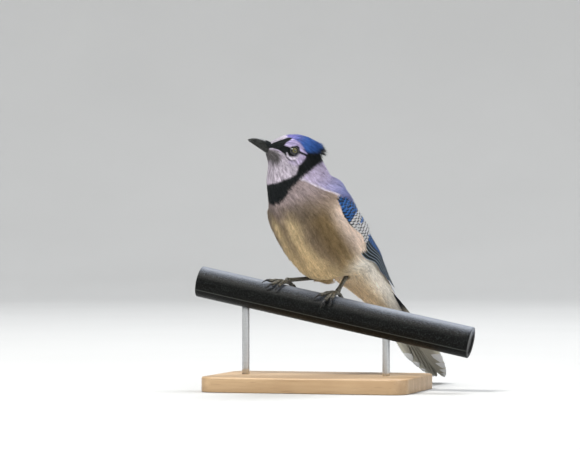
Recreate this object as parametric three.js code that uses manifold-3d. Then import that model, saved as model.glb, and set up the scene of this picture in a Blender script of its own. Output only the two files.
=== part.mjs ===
// A life-size blue jay perched on a short cut length of thick black cable, which a plain stand holds up.
// Millimetres, +Z up. X runs along the perch, the bird faces -Y and its tail hangs behind on the +Y side.
// The origin is the middle of the base's underside.
// The bird is laid out facing straight ahead in its own frame: f forward, l to its left, u up from the
// perch's axis under its feet. Its neck is then turned, and the whole bird is turned over the perch.
import * as THREE from "three";
import { mergeVertices } from "three/addons/utils/BufferGeometryUtils.js";
import Module from "manifold-3d";

const wasm = await Module();
wasm.setup();

const GAP = 0.3; // left between two pieces that touch
const RAD = Math.PI / 180;

// The perch and its stand
const PERCH_RADIUS = 12.5;
const PERCH_HEIGHT = 69; // of the perch's axis at the middle of the feet, above the floor
const PERCH_FALL = 12 * RAD; // the perch slopes down towards +X
const PERCH_ENDS = [-84, 144]; // along the perch's axis, from the middle of the feet
const PERCH_SIDES = 36;
const FEET_X = -16.2; // the middle of the feet
const BASE = { length: 168, depth: 112, height: 12, corner: 14, bevel: 1.5 };
const ROD_RADIUS = 3;
const ROD_SIDES = 16;
const ROD_X = [-60, 56];

// The bird's stance
const HEADING = 243 * RAD; // the way the body faces, seen from above
const NECK_TURN = -33 * RAD; // the head looks to the bird's right
const NECK_AXIS_F = 26;
const TURN_FROM = 3.4; // stations of BODY between which the neck takes up its turn
const TURN_TO = 7.6;

// The body's outline: points of the back line and of the belly line as [f, u], and the half width between.
const BODY = [
  { back: [48.8, 127.4], belly: [50.4, 117.8], half: 5.2 }, // root of the bill
  { back: [44.3, 130.6], belly: [49.3, 115], half: 8.6 }, // forehead
  { back: [34, 134.6], belly: [48.7, 110.5], half: 11.6 }, // front of the eye
  { back: [21, 134.4], belly: [49.2, 105], half: 13.2 }, // back of the eye
  { back: [11, 128.4], belly: [50.3, 98.5], half: 14.6 }, // hind crown
  { back: [5.5, 118.5], belly: [50.6, 90.5], half: 16.2 }, // nape
  { back: [-0.8, 108.8], belly: [49.6, 80], half: 21.2 }, // collar
  { back: [-9, 98.5], belly: [45.4, 67.5], half: 27.6 }, // shoulder
  { back: [-17, 88.5], belly: [38, 54.5], half: 31 }, // breast
  { back: [-26.5, 78.3], belly: [28.5, 41.8], half: 32 }, // widest part
  { back: [-37, 68], belly: [15.6, 29.2], half: 31.6 }, // belly
  { back: [-47.5, 56.6], belly: [0.5, 19.3], half: 28.6 }, // low belly
  { back: [-58.5, 44.5], belly: [-22.5, 20.6], half: 24 }, // over the legs
  { back: [-68.5, 32.5], belly: [-38, 12.8], half: 19 }, // vent
  { back: [-77.5, 21], belly: [-58, 2], half: 14.6 }, // root of the tail
  { back: [-90, 6], belly: [-75.5, -9.5], half: 12.2 }, // coverts
  { back: [-101, -9], belly: [-91.5, -19], half: 9.2 }, // end of the coverts
  { back: [-110.5, -19.5], belly: [-107, -23.5], half: 4.5 }, // their tip
];
const BODY_SIDES = 24;
const RINGS_PER_STATION = 2;

// Where the body is parted: planes through a point [f, u], seen from the side, tilted by so many degrees.
const HEAD_CUT = { at: [30, 106], tilt: -13, turn: 0.9 };
const NECK_CUT = { at: [22, 88], tilt: -27, turn: 0.3 };
const RUMP_CUT = { at: [-50, 30], tilt: -49, turn: 0 };
const CUT_REACH = 200; // larger than the bird

// The fluffed feathers of the flank, which hide the lower edge of the folded wing: how far they stand out,
// the angle where they start at the first station, how much it falls at each station and where they end.
// They rise and settle over the ease, in stations along the body and in degrees round it.
const FLANK = {
  lift: 5.6,
  from: 80,
  fall: 7.5,
  ends: 135,
  stations: [7.8, 11.4],
  ease: { stations: [1.1, 0.9], angles: [14, 38] },
};
const WING_ROOM = { stations: [8.8, 12.1], angles: [58, 98], under: 0.25, over: 3.25 }; // under them
const STATION_LENGTH = 12; // millimetres along the wing, about
const DEGREES_PER_MM = 2; // round the wing, about

// Feathers: each outline is a list of [share of the length, share of the width]
const VANE = { thick: 0.5, ridge: 0.15 };
const LAYER = 0.82; // from one vane to the next that lies over it
const FLIGHT = [[0, 0.62], [0.4, 1], [0.88, 0.8], [1, 0.2]];
const COVERT = [[0, 0.66], [0.66, 1], [1, 0.3]];
const PLUME = [[0, 0.8], [0.4, 1], [0.75, 0.7], [1, 0.16]];

// The folded wing: a core over the arm and hand, flight feathers that fan out of its end, and rows of
// coverts on it. Angles run from the outermost feather of a row to the innermost. The core is narrow and
// thin at its front.
const WING_CORE = {
  stations: [6.8, 10],
  front: [26, 66],
  angles: [15, 90],
  widens: 3, // from its front's angles to its own within a third of its length
  thick: 2.8,
  under: 0.42,
  thickens: [-0.16, 0.48], // stations from its front
};
const FLIGHT_FAN = {
  roots: { station: 9.3, angle: 88, step: -7.4 },
  ends: { station: 14.5, angle: 70, step: -10 },
  tips: [13.2, 14.1, 14.5, 14.2, 12.6, 12.5, 12.4, 12.1, 11.4],
  lift: [1.55, 1.9],
  width: [9, 7], // of the innermost and of the outermost
};
const COVERT_ROWS = [
  { count: 5, stations: [8.35, 10.45], angles: [75, 31], width: 8.4 },
  { count: 4, stations: [7.5, 9.15], angles: [78, 36], width: 10.4 },
  { count: 3, stations: [6.95, 8.2], angles: [68, 40], width: 10.4 },
  { count: 2, stations: [6.95, 9.6], angles: [31, 20], width: 8.4 },
];

const COVERT_SWEEP = 1.5; // degrees that a covert's tip lies further in than its root
const COVERT_RISE = [-0.9, 0.9]; // of root and tip over what they lie on
const UNEVEN = { tips: 0.06, rump: 0.08, crest: 0.2 }; // small random differences

// The crest, from the crown to the raised tips, as rows from one side to the other
const CREST_TIERS = [
  { count: 4, roots: 2.5, tips: 3.8, spread: 48, lift: 0.8, bend: 0.9, width: 6.2 },
  { count: 4, roots: 3.35, tips: 4.6, spread: 42, lift: 2.8, bend: 1.3, width: 6.2 },
  { count: 4, roots: 3.9, tips: 5.15, spread: 32, lift: 7.4, bend: 1.5, width: 6 },
];
const CREST_SUNK = 0.9; // of their roots in the head
const CREST_ROOT_SPREAD = 0.85; // the roots stand closer together than the tips
const CREST_FALL = 1.3; // how fast the rise falls off to the sides

// The bristly feathers that lie over the nostrils: distance ahead of the bird's middle, angle over the bill
// from its side to its top, and height over the bill
const BRISTLE = { from: 46.6, to: 54.4, angles: [14, 46], lift: 0.65, width: 2.7 };

// The corner of the mouth, as stations and angles of the head
const GAPE = { path: [[0.1, 85], [0.7, 93], [1.3, 99], [1.9, 101]], radius: 0.4 };

// Eyes: their place on the head as a station and angle, and how far their middle lies under the skin
const EYE = { station: 3.2, angle: 79, radius: 4, sunk: 2.3, shows: 3.3, lid: 0.7 };
const EYE_SIDES = 12;

// Bill: the line where its halves meet, from its root in the head to the tip, and their depths at the root
const BILL_ROOT = [44, 121.9];
const BILL_TIP = [66, 130.1];
const BILL_BASE_F = 48.8;
const UPPER_DEPTH = 4.9;
const LOWER_DEPTH = 5.2;
const BILL_HALF = 4.6;
const BILL_BULGE = 0.7; // of the line where they meet
const BILL_TAPER = { upper: [2.1, 0.8], lower: [1.25, 0.9], half: [1.15, 0.85] }; // powers towards the tip
const BILL_LEAST = 0.35; // half thickness at the tip
const BILL_OVERHANG = 0.8; // of the upper half
const BILL_RINGS = 9;
const BILL_SIDES = 10;

// Tail: its root inside the rump, and the length, width and droop of its feathers
const TAIL_ROOT = [-61.7, 24.9];
const TAIL_DROOP = 43.4 * RAD;
const TAIL_SHOWS_FROM = 16; // from its root to where it leaves the rump
const TAIL = {
  pairs: 6,
  length: 128, // of the middle pair
  shorter: 0.85, // how much each next pair is shorter, growing with the square of its number
  width: 12.5,
  rootAside: [3.4, 1], // the middle pair's distance from the middle line, and what each next pair adds
  tipAside: [3.6, 2.5],
  top: 1.9, // the left middle feather's height, and how much lower the right one and each next pair lie
  layers: [0.8, 0.8, 0.55],
  tilt: 0.1, // of each vane's outer edge, from the second pair on
  curve: -2.5, // the tips hang by this much
};
const TAIL_ROOT_BLOCK = { out: 30, half: 9, high: [-2.3, 2.1] };
const TAIL_ROOM = { length: 80, half: 30, under: 3.9, over: 2.65 };

// The coverts over and under the tail: rows round the rump, where an angle of 180 is the middle of the belly
const RUMP_ROWS = [
  { count: 3, stations: [14.75, 16.5], angles: [-24, 24], width: 5.6 },
  { count: 4, stations: [13.2, 15.3], angles: [132, 228], width: 9 },
  { count: 3, stations: [14.9, 16.9], angles: [150, 210], width: 8.6 },
];

// Legs, in the bird's frame. The shin has overlapping plates and thicker ends, and its foot end belongs to
// the foot.
const TARSUS_RADIUS = 1.6;
const TARSUS_ENDS = 0.28; // shares of the radius
const PLATES = { count: 7, rise: 0.1 };
const FOOT_STUB = { length: 2.6, swell: 1.22 };
const CUFF_RUN = 1.6; // the cuff of feathers runs on by this share of the way it is sunk in the body
const LEGS = {
  left: {
    heel: [-33.8, 7.5, 30.2],
    bareTo: 0.6,
    cuff: { radius: 2.9, flare: 6, sunk: 0.62 },
  },
  right: {
    heel: [-16.7, -15, 20.4],
    bareTo: 0.93,
    cuff: { radius: 3.1, flare: 6.5, sunk: 1.1 },
  },
};

// Feet, on the perch: distance along it from the middle of the feet, angle from its top towards the bird's
// front in degrees, and height over it. Each toe goes from the ankle to its claw's tip.
const TOE_RADIUS = 1.45;
const TOE_SPOTS = [0, 0.18, 0.4, 0.62, 0.8, 0.92, 1]; // shares of the way where a toe's curve is set
const TOE_TAPER = [1.05, 0.8];
const TOE_PADS = { count: 3, rise: 0.1 };
const TOE_ARCH = 0.75; // how high it stands off the perch in its middle
const TOE_DROP = { by: 1.4, within: 3.2 }; // from the ankle down to the perch
const PALM_RADIUS = 2.1;
const CLAW_SHARE = 0.33; // of the toe's length
const CLAW_HOOK = { from: 0.66, high: 1.3, bends: 0.9, steep: 9 }; // the claw rises, and then bends down
const CLAW_RADIUS = [1, 0.22];
const FEET = {
  left: {
    ankle: { s: 29.3, angle: -8, lift: 4.6 },
    tips: {
      inner: { s: 14.5, angle: 60 },
      middle: { s: 22, angle: 84 },
      outer: { s: 28.5, angle: 68 },
      hind: { s: 35, angle: -84 },
    },
  },
  right: {
    ankle: { s: -13.2, angle: -6, lift: 3.9 },
    tips: {
      inner: { s: -31, angle: 42 },
      middle: { s: -26, angle: 62 },
      outer: { s: -17.5, angle: 62 },
      hind: { s: -4, angle: -72 },
    },
  },
};

// A small random number either side of nothing, the same at each run.
let seed = 7;
function vary(size) {
  seed = (seed * 16807) % 2147483647;
  return size * (seed / 1073741823.5 - 1);
}

const clamp = (x) => Math.min(1, Math.max(0, x));
const mix = (a, b, k) => a + (b - a) * k;
const smooth = (x) => clamp(x) ** 2 * (3 - 2 * clamp(x));

// A point of the bird's own frame, with the neck turned by the share given, in the part's frame.
function place(f, l, u, turn = 0) {
  const c = Math.cos(NECK_TURN * turn);
  const s = Math.sin(NECK_TURN * turn);
  const ahead = NECK_AXIS_F + (f - NECK_AXIS_F) * c - l * s;
  const aside = (f - NECK_AXIS_F) * s + l * c;
  return new THREE.Vector3(
    ahead * Math.cos(HEADING) - aside * Math.sin(HEADING),
    ahead * Math.sin(HEADING) + aside * Math.cos(HEADING),
    PERCH_HEIGHT + u,
  );
}

// The share of the neck's turn at a station of the body.
const turnAt = (t) => 1 - smooth((t - TURN_FROM) / (TURN_TO - TURN_FROM));

// A smooth curve through the values that pick() takes from the rows of a table, at the row number t.
function along(table, t, pick) {
  const last = table.length - 1;
  const i = Math.min(last - 1, Math.max(0, Math.floor(t)));
  const k = t - i;
  const [a, b, c, d] = [i - 1, i, i + 1, i + 2].map((n) => pick(table[Math.min(last, Math.max(0, n))]));
  return b + 0.5 * k * (c - a + k * (2 * a - 5 * b + 4 * c - d + k * (3 * (b - c) + d - a)));
}

// The body's section at a station: its middle, the direction of its back, and its half depth and half width.
function section(t) {
  const back = [0, 1].map((n) => along(BODY, t, (row) => row.back[n]));
  const belly = [0, 1].map((n) => along(BODY, t, (row) => row.belly[n]));
  const deep = Math.hypot(back[0] - belly[0], back[1] - belly[1]) / 2;
  return {
    f: (back[0] + belly[0]) / 2,
    u: (back[1] + belly[1]) / 2,
    up: [(back[0] - belly[0]) / (2 * deep), (back[1] - belly[1]) / (2 * deep)],
    deep,
    half: along(BODY, t, (row) => row.half),
  };
}

// A point over the body's skin. The angle is in degrees from the middle of the back towards the bird's left.
function bodyPoint(t, angle, lift = 0) {
  const { f, u, up, deep, half } = section(t);
  const y = (deep + lift) * Math.cos(angle * RAD);
  const l = (half + lift) * Math.sin(angle * RAD);
  return place(f + up[0] * y, l, u + up[1] * y, turnAt(t));
}

// A three.js geometry as a solid, with its faces pointing out.
function solidOf(geometry) {
  geometry.deleteAttribute("normal");
  geometry.deleteAttribute("uv");
  const merged = mergeVertices(geometry, 1e-4);
  const triVerts = new Uint32Array(merged.index.array);
  const vertProperties = new Float32Array(merged.attributes.position.array);
  const made = () => new wasm.Manifold(new wasm.Mesh({ numProp: 3, vertProperties, triVerts }));
  const solid = made();
  if (solid.volume() > 0) return solid;
  for (let i = 0; i < triVerts.length; i += 3) {
    [triVerts[i + 1], triVerts[i + 2]] = [triVerts[i + 2], triVerts[i + 1]];
  }
  return made();
}

// A closed solid from points and triangles.
function solidFrom(points, faces) {
  const geometry = new THREE.BufferGeometry().setFromPoints(points);
  geometry.setIndex(faces);
  return solidOf(geometry);
}

// A closed solid through rings of points, with a fan over each end.
function ringSolid(rings) {
  const count = rings[0].length;
  const points = rings.flat();
  const faces = [];
  for (let i = 0; i + 1 < rings.length; i++) {
    for (let j = 0; j < count; j++) {
      const a = i * count + j;
      const b = i * count + ((j + 1) % count);
      faces.push(a, b, a + count, b, b + count, a + count);
    }
  }
  const centre = (ring) => ring.reduce((sum, p) => sum.add(p), new THREE.Vector3()).divideScalar(count);
  const first = points.push(centre(rings[0])) - 1;
  const last = points.push(centre(rings[rings.length - 1])) - 1;
  const top = (rings.length - 1) * count;
  for (let j = 0; j < count; j++) {
    const next = (j + 1) % count;
    faces.push(first, next, j, last, top + j, top + next);
  }
  return solidFrom(points, faces);
}

const joined = (solids) => solids.reduce((sum, solid) => sum.add(solid));

// The largest closed surface of a solid.
function largest(solid) {
  const pieces = solid.decompose();
  return pieces.reduce((best, piece) => (piece.volume() > best.volume() ? piece : best));
}

// How far the flank's feathers stand out from the body at a station and angle.
function flankLift(t, angle) {
  const aside = Math.abs(angle > 180 ? angle - 360 : angle);
  const [from, to] = FLANK.stations;
  const { stations, angles } = FLANK.ease;
  const edge = FLANK.from - FLANK.fall * (t - from);
  const across = smooth((aside - edge) / angles[0]) * smooth((FLANK.ends - aside) / angles[1]);
  return FLANK.lift * across * smooth((t - from) / stations[0]) * smooth((to - t) / stations[1]);
}

// The body's form with its flanks, grown by a lift.
function bodyForm(lift) {
  const rings = [];
  const steps = (BODY.length - 1) * RINGS_PER_STATION;
  for (let i = 0; i <= steps; i++) {
    const t = i / RINGS_PER_STATION;
    const ring = [];
    for (let j = 0; j < BODY_SIDES; j++) {
      const angle = (j / BODY_SIDES) * 360;
      ring.push(bodyPoint(t, angle, lift + flankLift(t, angle)));
    }
    rings.push(ring);
  }
  return ringSolid(rings);
}

// The room that the folded wing takes under the flank's feathers, shrunk by a margin.
function wingRoom(side, margin) {
  const { stations, angles, under, over } = WING_ROOM;
  return sheet({
    side,
    stations: [stations[0] + margin / STATION_LENGTH, stations[1] - margin / STATION_LENGTH],
    edge: () => [angles[0], angles[1] - margin * DEGREES_PER_MM],
    lift: () => margin - under,
    thick: () => over + under - 2 * margin,
    flat: true,
    steps: 7,
    columns: 4,
  });
}

// A flat box turned as a cut through the bird, with its thickness along the cut's own axis.
function slab({ at, tilt, turn }, thick, rise = 0) {
  const geometry = new THREE.BoxGeometry(CUT_REACH, CUT_REACH, thick);
  geometry.translate(0, 0, rise);
  geometry.rotateY(-tilt * RAD);
  geometry.rotateZ(HEADING + NECK_TURN * turn);
  const middle = place(at[0], 0, at[1], turn);
  geometry.translate(middle.x, middle.y, middle.z);
  return solidOf(geometry);
}

// A tube along part of a curve. radiusAt gives its radius for the share along that part.
function tube(curve, [from, to], radiusAt, rings, sides, side = new THREE.Vector3(0, 0, 1)) {
  const made = [];
  for (let i = 0; i <= rings; i++) {
    const k = mix(from, to, i / rings);
    const middle = curve.getPointAt(k);
    const ahead = curve.getTangentAt(k);
    const across = new THREE.Vector3().crossVectors(side, ahead).normalize();
    const over = new THREE.Vector3().crossVectors(ahead, across);
    const radius = radiusAt(i / rings);
    const ring = [];
    for (let j = 0; j < sides; j++) {
      const angle = ((j + 0.5) / sides) * 2 * Math.PI;
      ring.push(
        middle
          .clone()
          .addScaledVector(across, radius * Math.cos(angle))
          .addScaledVector(over, radius * Math.sin(angle)),
      );
    }
    made.push(ring);
  }
  return ringSolid(made);
}

const lineCurve = (a, b) => new THREE.LineCurve3(a, b);

// The perch

const perchAhead = new THREE.Vector3(Math.cos(PERCH_FALL), 0, -Math.sin(PERCH_FALL));
const perchTop = new THREE.Vector3(Math.sin(PERCH_FALL), 0, Math.cos(PERCH_FALL));
const perchFront = new THREE.Vector3(0, -1, 0);

// A point over the perch's skin.
function perchPoint({ s, angle, lift }) {
  const out = PERCH_RADIUS + lift;
  return new THREE.Vector3(FEET_X, 0, PERCH_HEIGHT)
    .addScaledVector(perchAhead, s)
    .addScaledVector(perchTop, out * Math.cos(angle * RAD))
    .addScaledVector(perchFront, out * Math.sin(angle * RAD));
}

function perchForm(lift = 0) {
  const axis = lineCurve(
    perchPoint({ s: PERCH_ENDS[0], angle: 0, lift: -PERCH_RADIUS }),
    perchPoint({ s: PERCH_ENDS[1], angle: 0, lift: -PERCH_RADIUS }),
  );
  return tube(axis, [0, 1], () => PERCH_RADIUS + lift, 1, PERCH_SIDES);
}

// The stand

function baseSolid() {
  const { length, depth, height, corner, bevel } = BASE;
  const outline = new THREE.Shape();
  const [x, y] = [length / 2 - corner, depth / 2 - corner];
  outline.absarc(x, y, corner - bevel, 0, 90 * RAD);
  outline.absarc(-x, y, corner - bevel, 90 * RAD, 180 * RAD);
  outline.absarc(-x, -y, corner - bevel, 180 * RAD, 270 * RAD);
  outline.absarc(x, -y, corner - bevel, 270 * RAD, 360 * RAD);
  const geometry = new THREE.ExtrudeGeometry(outline, {
    depth: height - 2 * bevel,
    bevelThickness: bevel,
    bevelSize: bevel,
    bevelSegments: 1,
    curveSegments: 4,
  });
  geometry.translate(0, 0, bevel);
  return solidOf(geometry);
}

function rodSolid(x, perchGrown) {
  const geometry = new THREE.CylinderGeometry(ROD_RADIUS, ROD_RADIUS, PERCH_HEIGHT, ROD_SIDES);
  geometry.rotateX(90 * RAD);
  geometry.translate(x, 0, BASE.height + GAP + PERCH_HEIGHT / 2);
  const cut = solidOf(geometry).subtract(perchGrown);
  const pieces = cut.decompose();
  return pieces.reduce((low, piece) => (piece.boundingBox().min[2] < low.boundingBox().min[2] ? piece : low));
}

// The head: eyes, lids and bill

function eyePlace(side) {
  const { station, angle, sunk } = EYE;
  const middle = bodyPoint(station, side * angle, -sunk);
  const out = bodyPoint(station, side * angle, 1).sub(middle).normalize();
  return { middle, out };
}

function eyeSolid(side, radius) {
  const { middle, out } = eyePlace(side);
  const geometry = new THREE.SphereGeometry(radius, EYE_SIDES, EYE_SIDES / 2);
  geometry.applyQuaternion(new THREE.Quaternion().setFromUnitVectors(new THREE.Vector3(0, 1, 0), out));
  geometry.translate(middle.x, middle.y, middle.z);
  return solidOf(geometry);
}

// A point over the bill: side is 1 for its upper half and -1 for the lower, and the angle goes round that
// half from the bird's left to its right.
function billPoint(side, f, angle, lift = 0) {
  const share = clamp((f - BILL_ROOT[0]) / (BILL_TIP[0] - BILL_ROOT[0]));
  const past = clamp((f - BILL_BASE_F) / (BILL_TIP[0] - BILL_BASE_F));
  const meet = mix(BILL_ROOT[1], BILL_TIP[1], share) + BILL_BULGE * Math.sin(Math.PI * share);
  const taper = ([late, round]) => (1 - past ** late) ** round;
  const shape = side > 0 ? UPPER_DEPTH * taper(BILL_TAPER.upper) : LOWER_DEPTH * taper(BILL_TAPER.lower);
  const deep = lift + Math.max(BILL_LEAST, shape);
  const half = lift + Math.max(BILL_LEAST, BILL_HALF * taper(BILL_TAPER.half));
  const high = meet + side * (GAP / 2 + deep * Math.sin(angle * RAD));
  return place(f, half * Math.cos(angle * RAD), high, 1);
}

// One half of the bill. The two share one line.
function billHalf(side) {
  const rings = [];
  for (let i = 0; i <= BILL_RINGS; i++) {
    const f = mix(BILL_ROOT[0], BILL_TIP[0] - (side > 0 ? 0 : BILL_OVERHANG), i / BILL_RINGS);
    const ring = [];
    for (let j = 0; j <= BILL_SIDES; j++) ring.push(billPoint(side, f, (j / BILL_SIDES) * 180));
    rings.push(side > 0 ? ring : ring.reverse());
  }
  return ringSolid(rings);
}

// The groove at the corner of the mouth, to be cut from the head.
function gapeGroove(side) {
  const { path, radius } = GAPE;
  const curve = new THREE.CatmullRomCurve3(path.map(([t, angle]) => bodyPoint(t, side * angle)));
  return tube(curve, [0, 1], () => radius, 6, 4);
}

// Feathers

// A closed thin solid from two like grids of points, split into triangles alike on both faces.
function thinSolid(over, under, steps, columns) {
  const points = [...over, ...under];
  const wide = columns + 1;
  const below = over.length;
  const faces = [];
  const strip = (a, b) => faces.push(a, b, a + below, b, b + below, a + below);
  for (let i = 0; i < steps; i++) {
    for (let j = 0; j < columns; j++) {
      const a = i * wide + j;
      const b = a + wide;
      faces.push(a, a + 1, b + 1, a, b + 1, b);
      faces.push(below + a, below + b + 1, below + a + 1, below + a, below + b, below + b + 1);
    }
    strip(i * wide, (i + 1) * wide);
    strip((i + 1) * wide + columns, i * wide + columns);
  }
  for (let j = 0; j < columns; j++) {
    strip(j + 1, j);
    strip(steps * wide + j, steps * wide + j + 1);
  }
  return solidFrom(points, faces);
}

// A sheet over the body between two stations: its edges as angles, its height and its thickness.
function sheet({ side, stations, edge, lift, thick, flat = false, steps, columns }) {
  const [over, under] = [[], []];
  for (let i = 0; i <= steps; i++) {
    const k = i / steps;
    const t = mix(stations[0], stations[1], k);
    const [low, high] = edge(k);
    for (let j = 0; j <= columns; j++) {
      const share = j / columns;
      const crown = flat ? 1 : clamp(0.25 + 3 * Math.sin(Math.PI * share));
      const angle = side * mix(low, high, share);
      over.push(bodyPoint(t, angle, lift(k) + thick(k) * crown));
      under.push(bodyPoint(t, angle, lift(k)));
    }
  }
  return thinSolid(over, under, steps, columns);
}

// One feather's vane. at gives the point for a share of its length, a distance across it and a height over it.
function vane({ shape, width, at }) {
  const [over, under] = [[], []];
  for (const [k, wide] of shape) {
    for (const share of [-1, 0, 1]) {
      const across = (share * wide * width) / 2;
      const high = share === 0 ? VANE.ridge : 0;
      over.push(at(k, across, high + VANE.thick / 2));
      under.push(at(k, across, high - VANE.thick / 2));
    }
  }
  return thinSolid(over, under, shape.length - 1, 2);
}

// A vane that lies along the body from one [station, angle] to another. rise gives its height at a share of
// its length, and spacing the angle to its neighbour at a station, or none where they don't overlap.
function bodyVane({ shape, width, from, to, rise, spacing, side = 1 }) {
  const at = (k, across, high) => {
    const t = mix(from[0], to[0], k);
    const { deep, half } = section(t);
    const round = ((deep + half) / 2) * RAD;
    const tilt = spacing ? LAYER / (spacing(t) * round) : 0;
    const angle = mix(from[1], to[1], k) + across / round;
    return bodyPoint(t, side * angle, rise(k) + high + tilt * across);
  };
  return vane({ shape, width, at });
}

// The outer edge of each flight feather is raised over its neighbour's inner edge.
function flightVanes(side) {
  const { roots, ends, tips, lift, width } = FLIGHT_FAN;
  const wide = (i) => mix(width[1], width[0], i / (tips.length - 1));
  const along = (t) => (t - roots.station) / (ends.station - roots.station);
  const spacing = (t) => -mix(roots.step, ends.step, along(t));
  return tips.map((tip, i) => {
    const angleAt = (t) => mix(roots.angle + i * roots.step, ends.angle + i * ends.step, along(t));
    return bodyVane({
      side,
      shape: FLIGHT,
      width: wide(i),
      spacing,
      from: [roots.station, angleAt(roots.station)],
      to: [tip, angleAt(tip)],
      rise: (k) => mix(lift[0], lift[1], k),
    });
  });
}

// The height of the wing's core over the body at a station.
function wingCoreTop(t) {
  const { stations, thick, under, thickens } = WING_CORE;
  return mix(under, thick, smooth((t - stations[0] - thickens[0]) / (thickens[1] - thickens[0])));
}

// A row of coverts, with their roots sunk in the wing's core and their tips over it.
function covertVanes(side, { count, stations, angles, width }) {
  const vanes = [];
  const step = (angles[0] - angles[1]) / (count - 1);
  for (let i = 0; i < count; i++) {
    const angle = angles[0] - i * step;
    vanes.push(
      bodyVane({
        side,
        shape: COVERT,
        width,
        spacing: () => step,
        from: [stations[0], angle],
        to: [stations[1] + vary(UNEVEN.tips), angle - COVERT_SWEEP],
        rise: (k) => wingCoreTop(mix(stations[0], stations[1], k)) + mix(...COVERT_RISE, k),
      }),
    );
  }
  return vanes;
}

function wingSolid(side) {
  const { stations, front, angles, widens, under } = WING_CORE;
  const core = sheet({
    side,
    stations,
    edge: (k) => [0, 1].map((n) => mix(front[n], angles[n], smooth(k * widens))),
    lift: () => under,
    thick: (k) => wingCoreTop(mix(stations[0], stations[1], k)) - under,
    steps: 6,
    columns: 5,
  });
  return joined([core, ...flightVanes(side), ...COVERT_ROWS.flatMap((row) => covertVanes(side, row))]);
}

// The rows of coverts over and under the root of the tail.
function rumpVanes() {
  return RUMP_ROWS.flatMap(({ count, stations, angles, width }) => {
    const step = (angles[1] - angles[0]) / (count - 1);
    return Array.from({ length: count }, (_, i) =>
      bodyVane({
        shape: COVERT,
        width,
        from: [stations[0], angles[0] + i * step],
        to: [stations[1] + vary(UNEVEN.rump), angles[0] + i * step],
        rise: (k) => mix(...COVERT_RISE, k),
      }),
    );
  });
}

// The crest's vanes rise off the head towards their tips, most in the middle.
function crestVanes() {
  const vanes = [];
  for (const { count, roots, tips, spread, lift, bend, width } of CREST_TIERS) {
    for (let i = 0; i < count; i++) {
      const angle = mix(-spread, spread, i / (count - 1));
      const top = lift * Math.cos(angle * RAD * CREST_FALL) + vary(UNEVEN.crest);
      vanes.push(
        bodyVane({
          shape: PLUME,
          width,
          from: [roots, angle * CREST_ROOT_SPREAD],
          to: [tips + vary(UNEVEN.tips), angle],
          rise: (k) => mix(-CREST_SUNK, top, k ** bend),
        }),
      );
    }
  }
  return vanes;
}

// The bristly feathers over the nostrils, from the head ahead over the bill.
function bristleVanes() {
  const { from, to, angles, lift, width } = BRISTLE;
  return angles.flatMap((angle) =>
    [angle, 180 - angle].map((round) => {
      const at = (k, across, high) => {
        const turn = across / ((BILL_HALF + lift) * RAD);
        return billPoint(1, mix(from, to, k), round + turn, lift + high);
      };
      return vane({ shape: COVERT, width, at });
    }),
  );
}

// A point of the tail: distance from its root, distance to the bird's left, and height over its middle.
function tailPoint(out, aside, high) {
  const f = TAIL_ROOT[0] - out * Math.cos(TAIL_DROOP) - high * Math.sin(TAIL_DROOP);
  const u = TAIL_ROOT[1] - out * Math.sin(TAIL_DROOP) + high * Math.cos(TAIL_DROOP);
  return place(f, aside, u);
}

// The tail's vanes, from the middle pair on top to the outermost pair below, and a block joining their roots.
function tailSolid() {
  const { pairs, length, shorter, width, rootAside, tipAside, top, layers, tilt, curve } = TAIL;
  const from = TAIL_SHOWS_FROM + GAP;
  const vanes = [];
  for (let pair = 0; pair < pairs; pair++) {
    for (const side of [1, -1]) {
      const reach = length - shorter * pair * pair;
      const root = side * (rootAside[0] + rootAside[1] * pair);
      const tip = side * (tipAside[0] + tipAside[1] * pair);
      const under = pair > 0 ? layers[0] + layers[1] + layers[2] * (pair - 1) : side < 0 ? layers[0] : 0;
      const level = top - under;
      const at = (k, across, high) => {
        const out = mix(from, reach, k);
        const raised = pair > 0 ? tilt * side * across : 0;
        return tailPoint(out, mix(root, tip, k) + across, level + high + raised + curve * (out / length) ** 2);
      };
      vanes.push(vane({ shape: FLIGHT, width, at }));
    }
  }
  const { out, half, high } = TAIL_ROOT_BLOCK;
  const corners = (level) =>
    [from, out].flatMap((far) => [-half, half].map((aside) => tailPoint(far, aside, high[level])));
  return joined([thinSolid(corners(1), corners(0), 1, 1), ...vanes]);
}

// The room that the tail's feathers take between the coverts over and under them.
function tailRoom() {
  const { length, half, under, over } = TAIL_ROOM;
  const geometry = new THREE.BoxGeometry(length, 2 * half, under + over);
  geometry.translate(-length / 2 - TAIL_SHOWS_FROM, 0, (over - under) / 2);
  geometry.rotateY(-TAIL_DROOP);
  geometry.rotateZ(HEADING);
  const root = place(TAIL_ROOT[0], 0, TAIL_ROOT[1]);
  geometry.translate(root.x, root.y, root.z);
  return solidOf(geometry);
}

// Legs and feet

const ALONG_X = new THREE.Vector3(1, 0, 0);

// A toe's curve over the perch, from the ankle to the claw's tip.
function toeCurve({ ankle }, tip) {
  const spots = TOE_SPOTS.map((k) => {
    const resting = TOE_RADIUS + GAP + TOE_ARCH * Math.sin(Math.PI * clamp(k * 1.05));
    const lift = mix(ankle.lift - TOE_DROP.by, resting, smooth(k * TOE_DROP.within));
    const { from, high, bends, steep } = CLAW_HOOK;
    const hook = high * Math.sin(Math.PI * clamp((k - from) / (1 - from))) - Math.max(0, k - bends) * steep;
    return perchPoint({ s: mix(ankle.s, tip.s, k), angle: mix(ankle.angle, tip.angle, k), lift: lift + hook });
  });
  return new THREE.CatmullRomCurve3(spots);
}

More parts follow.
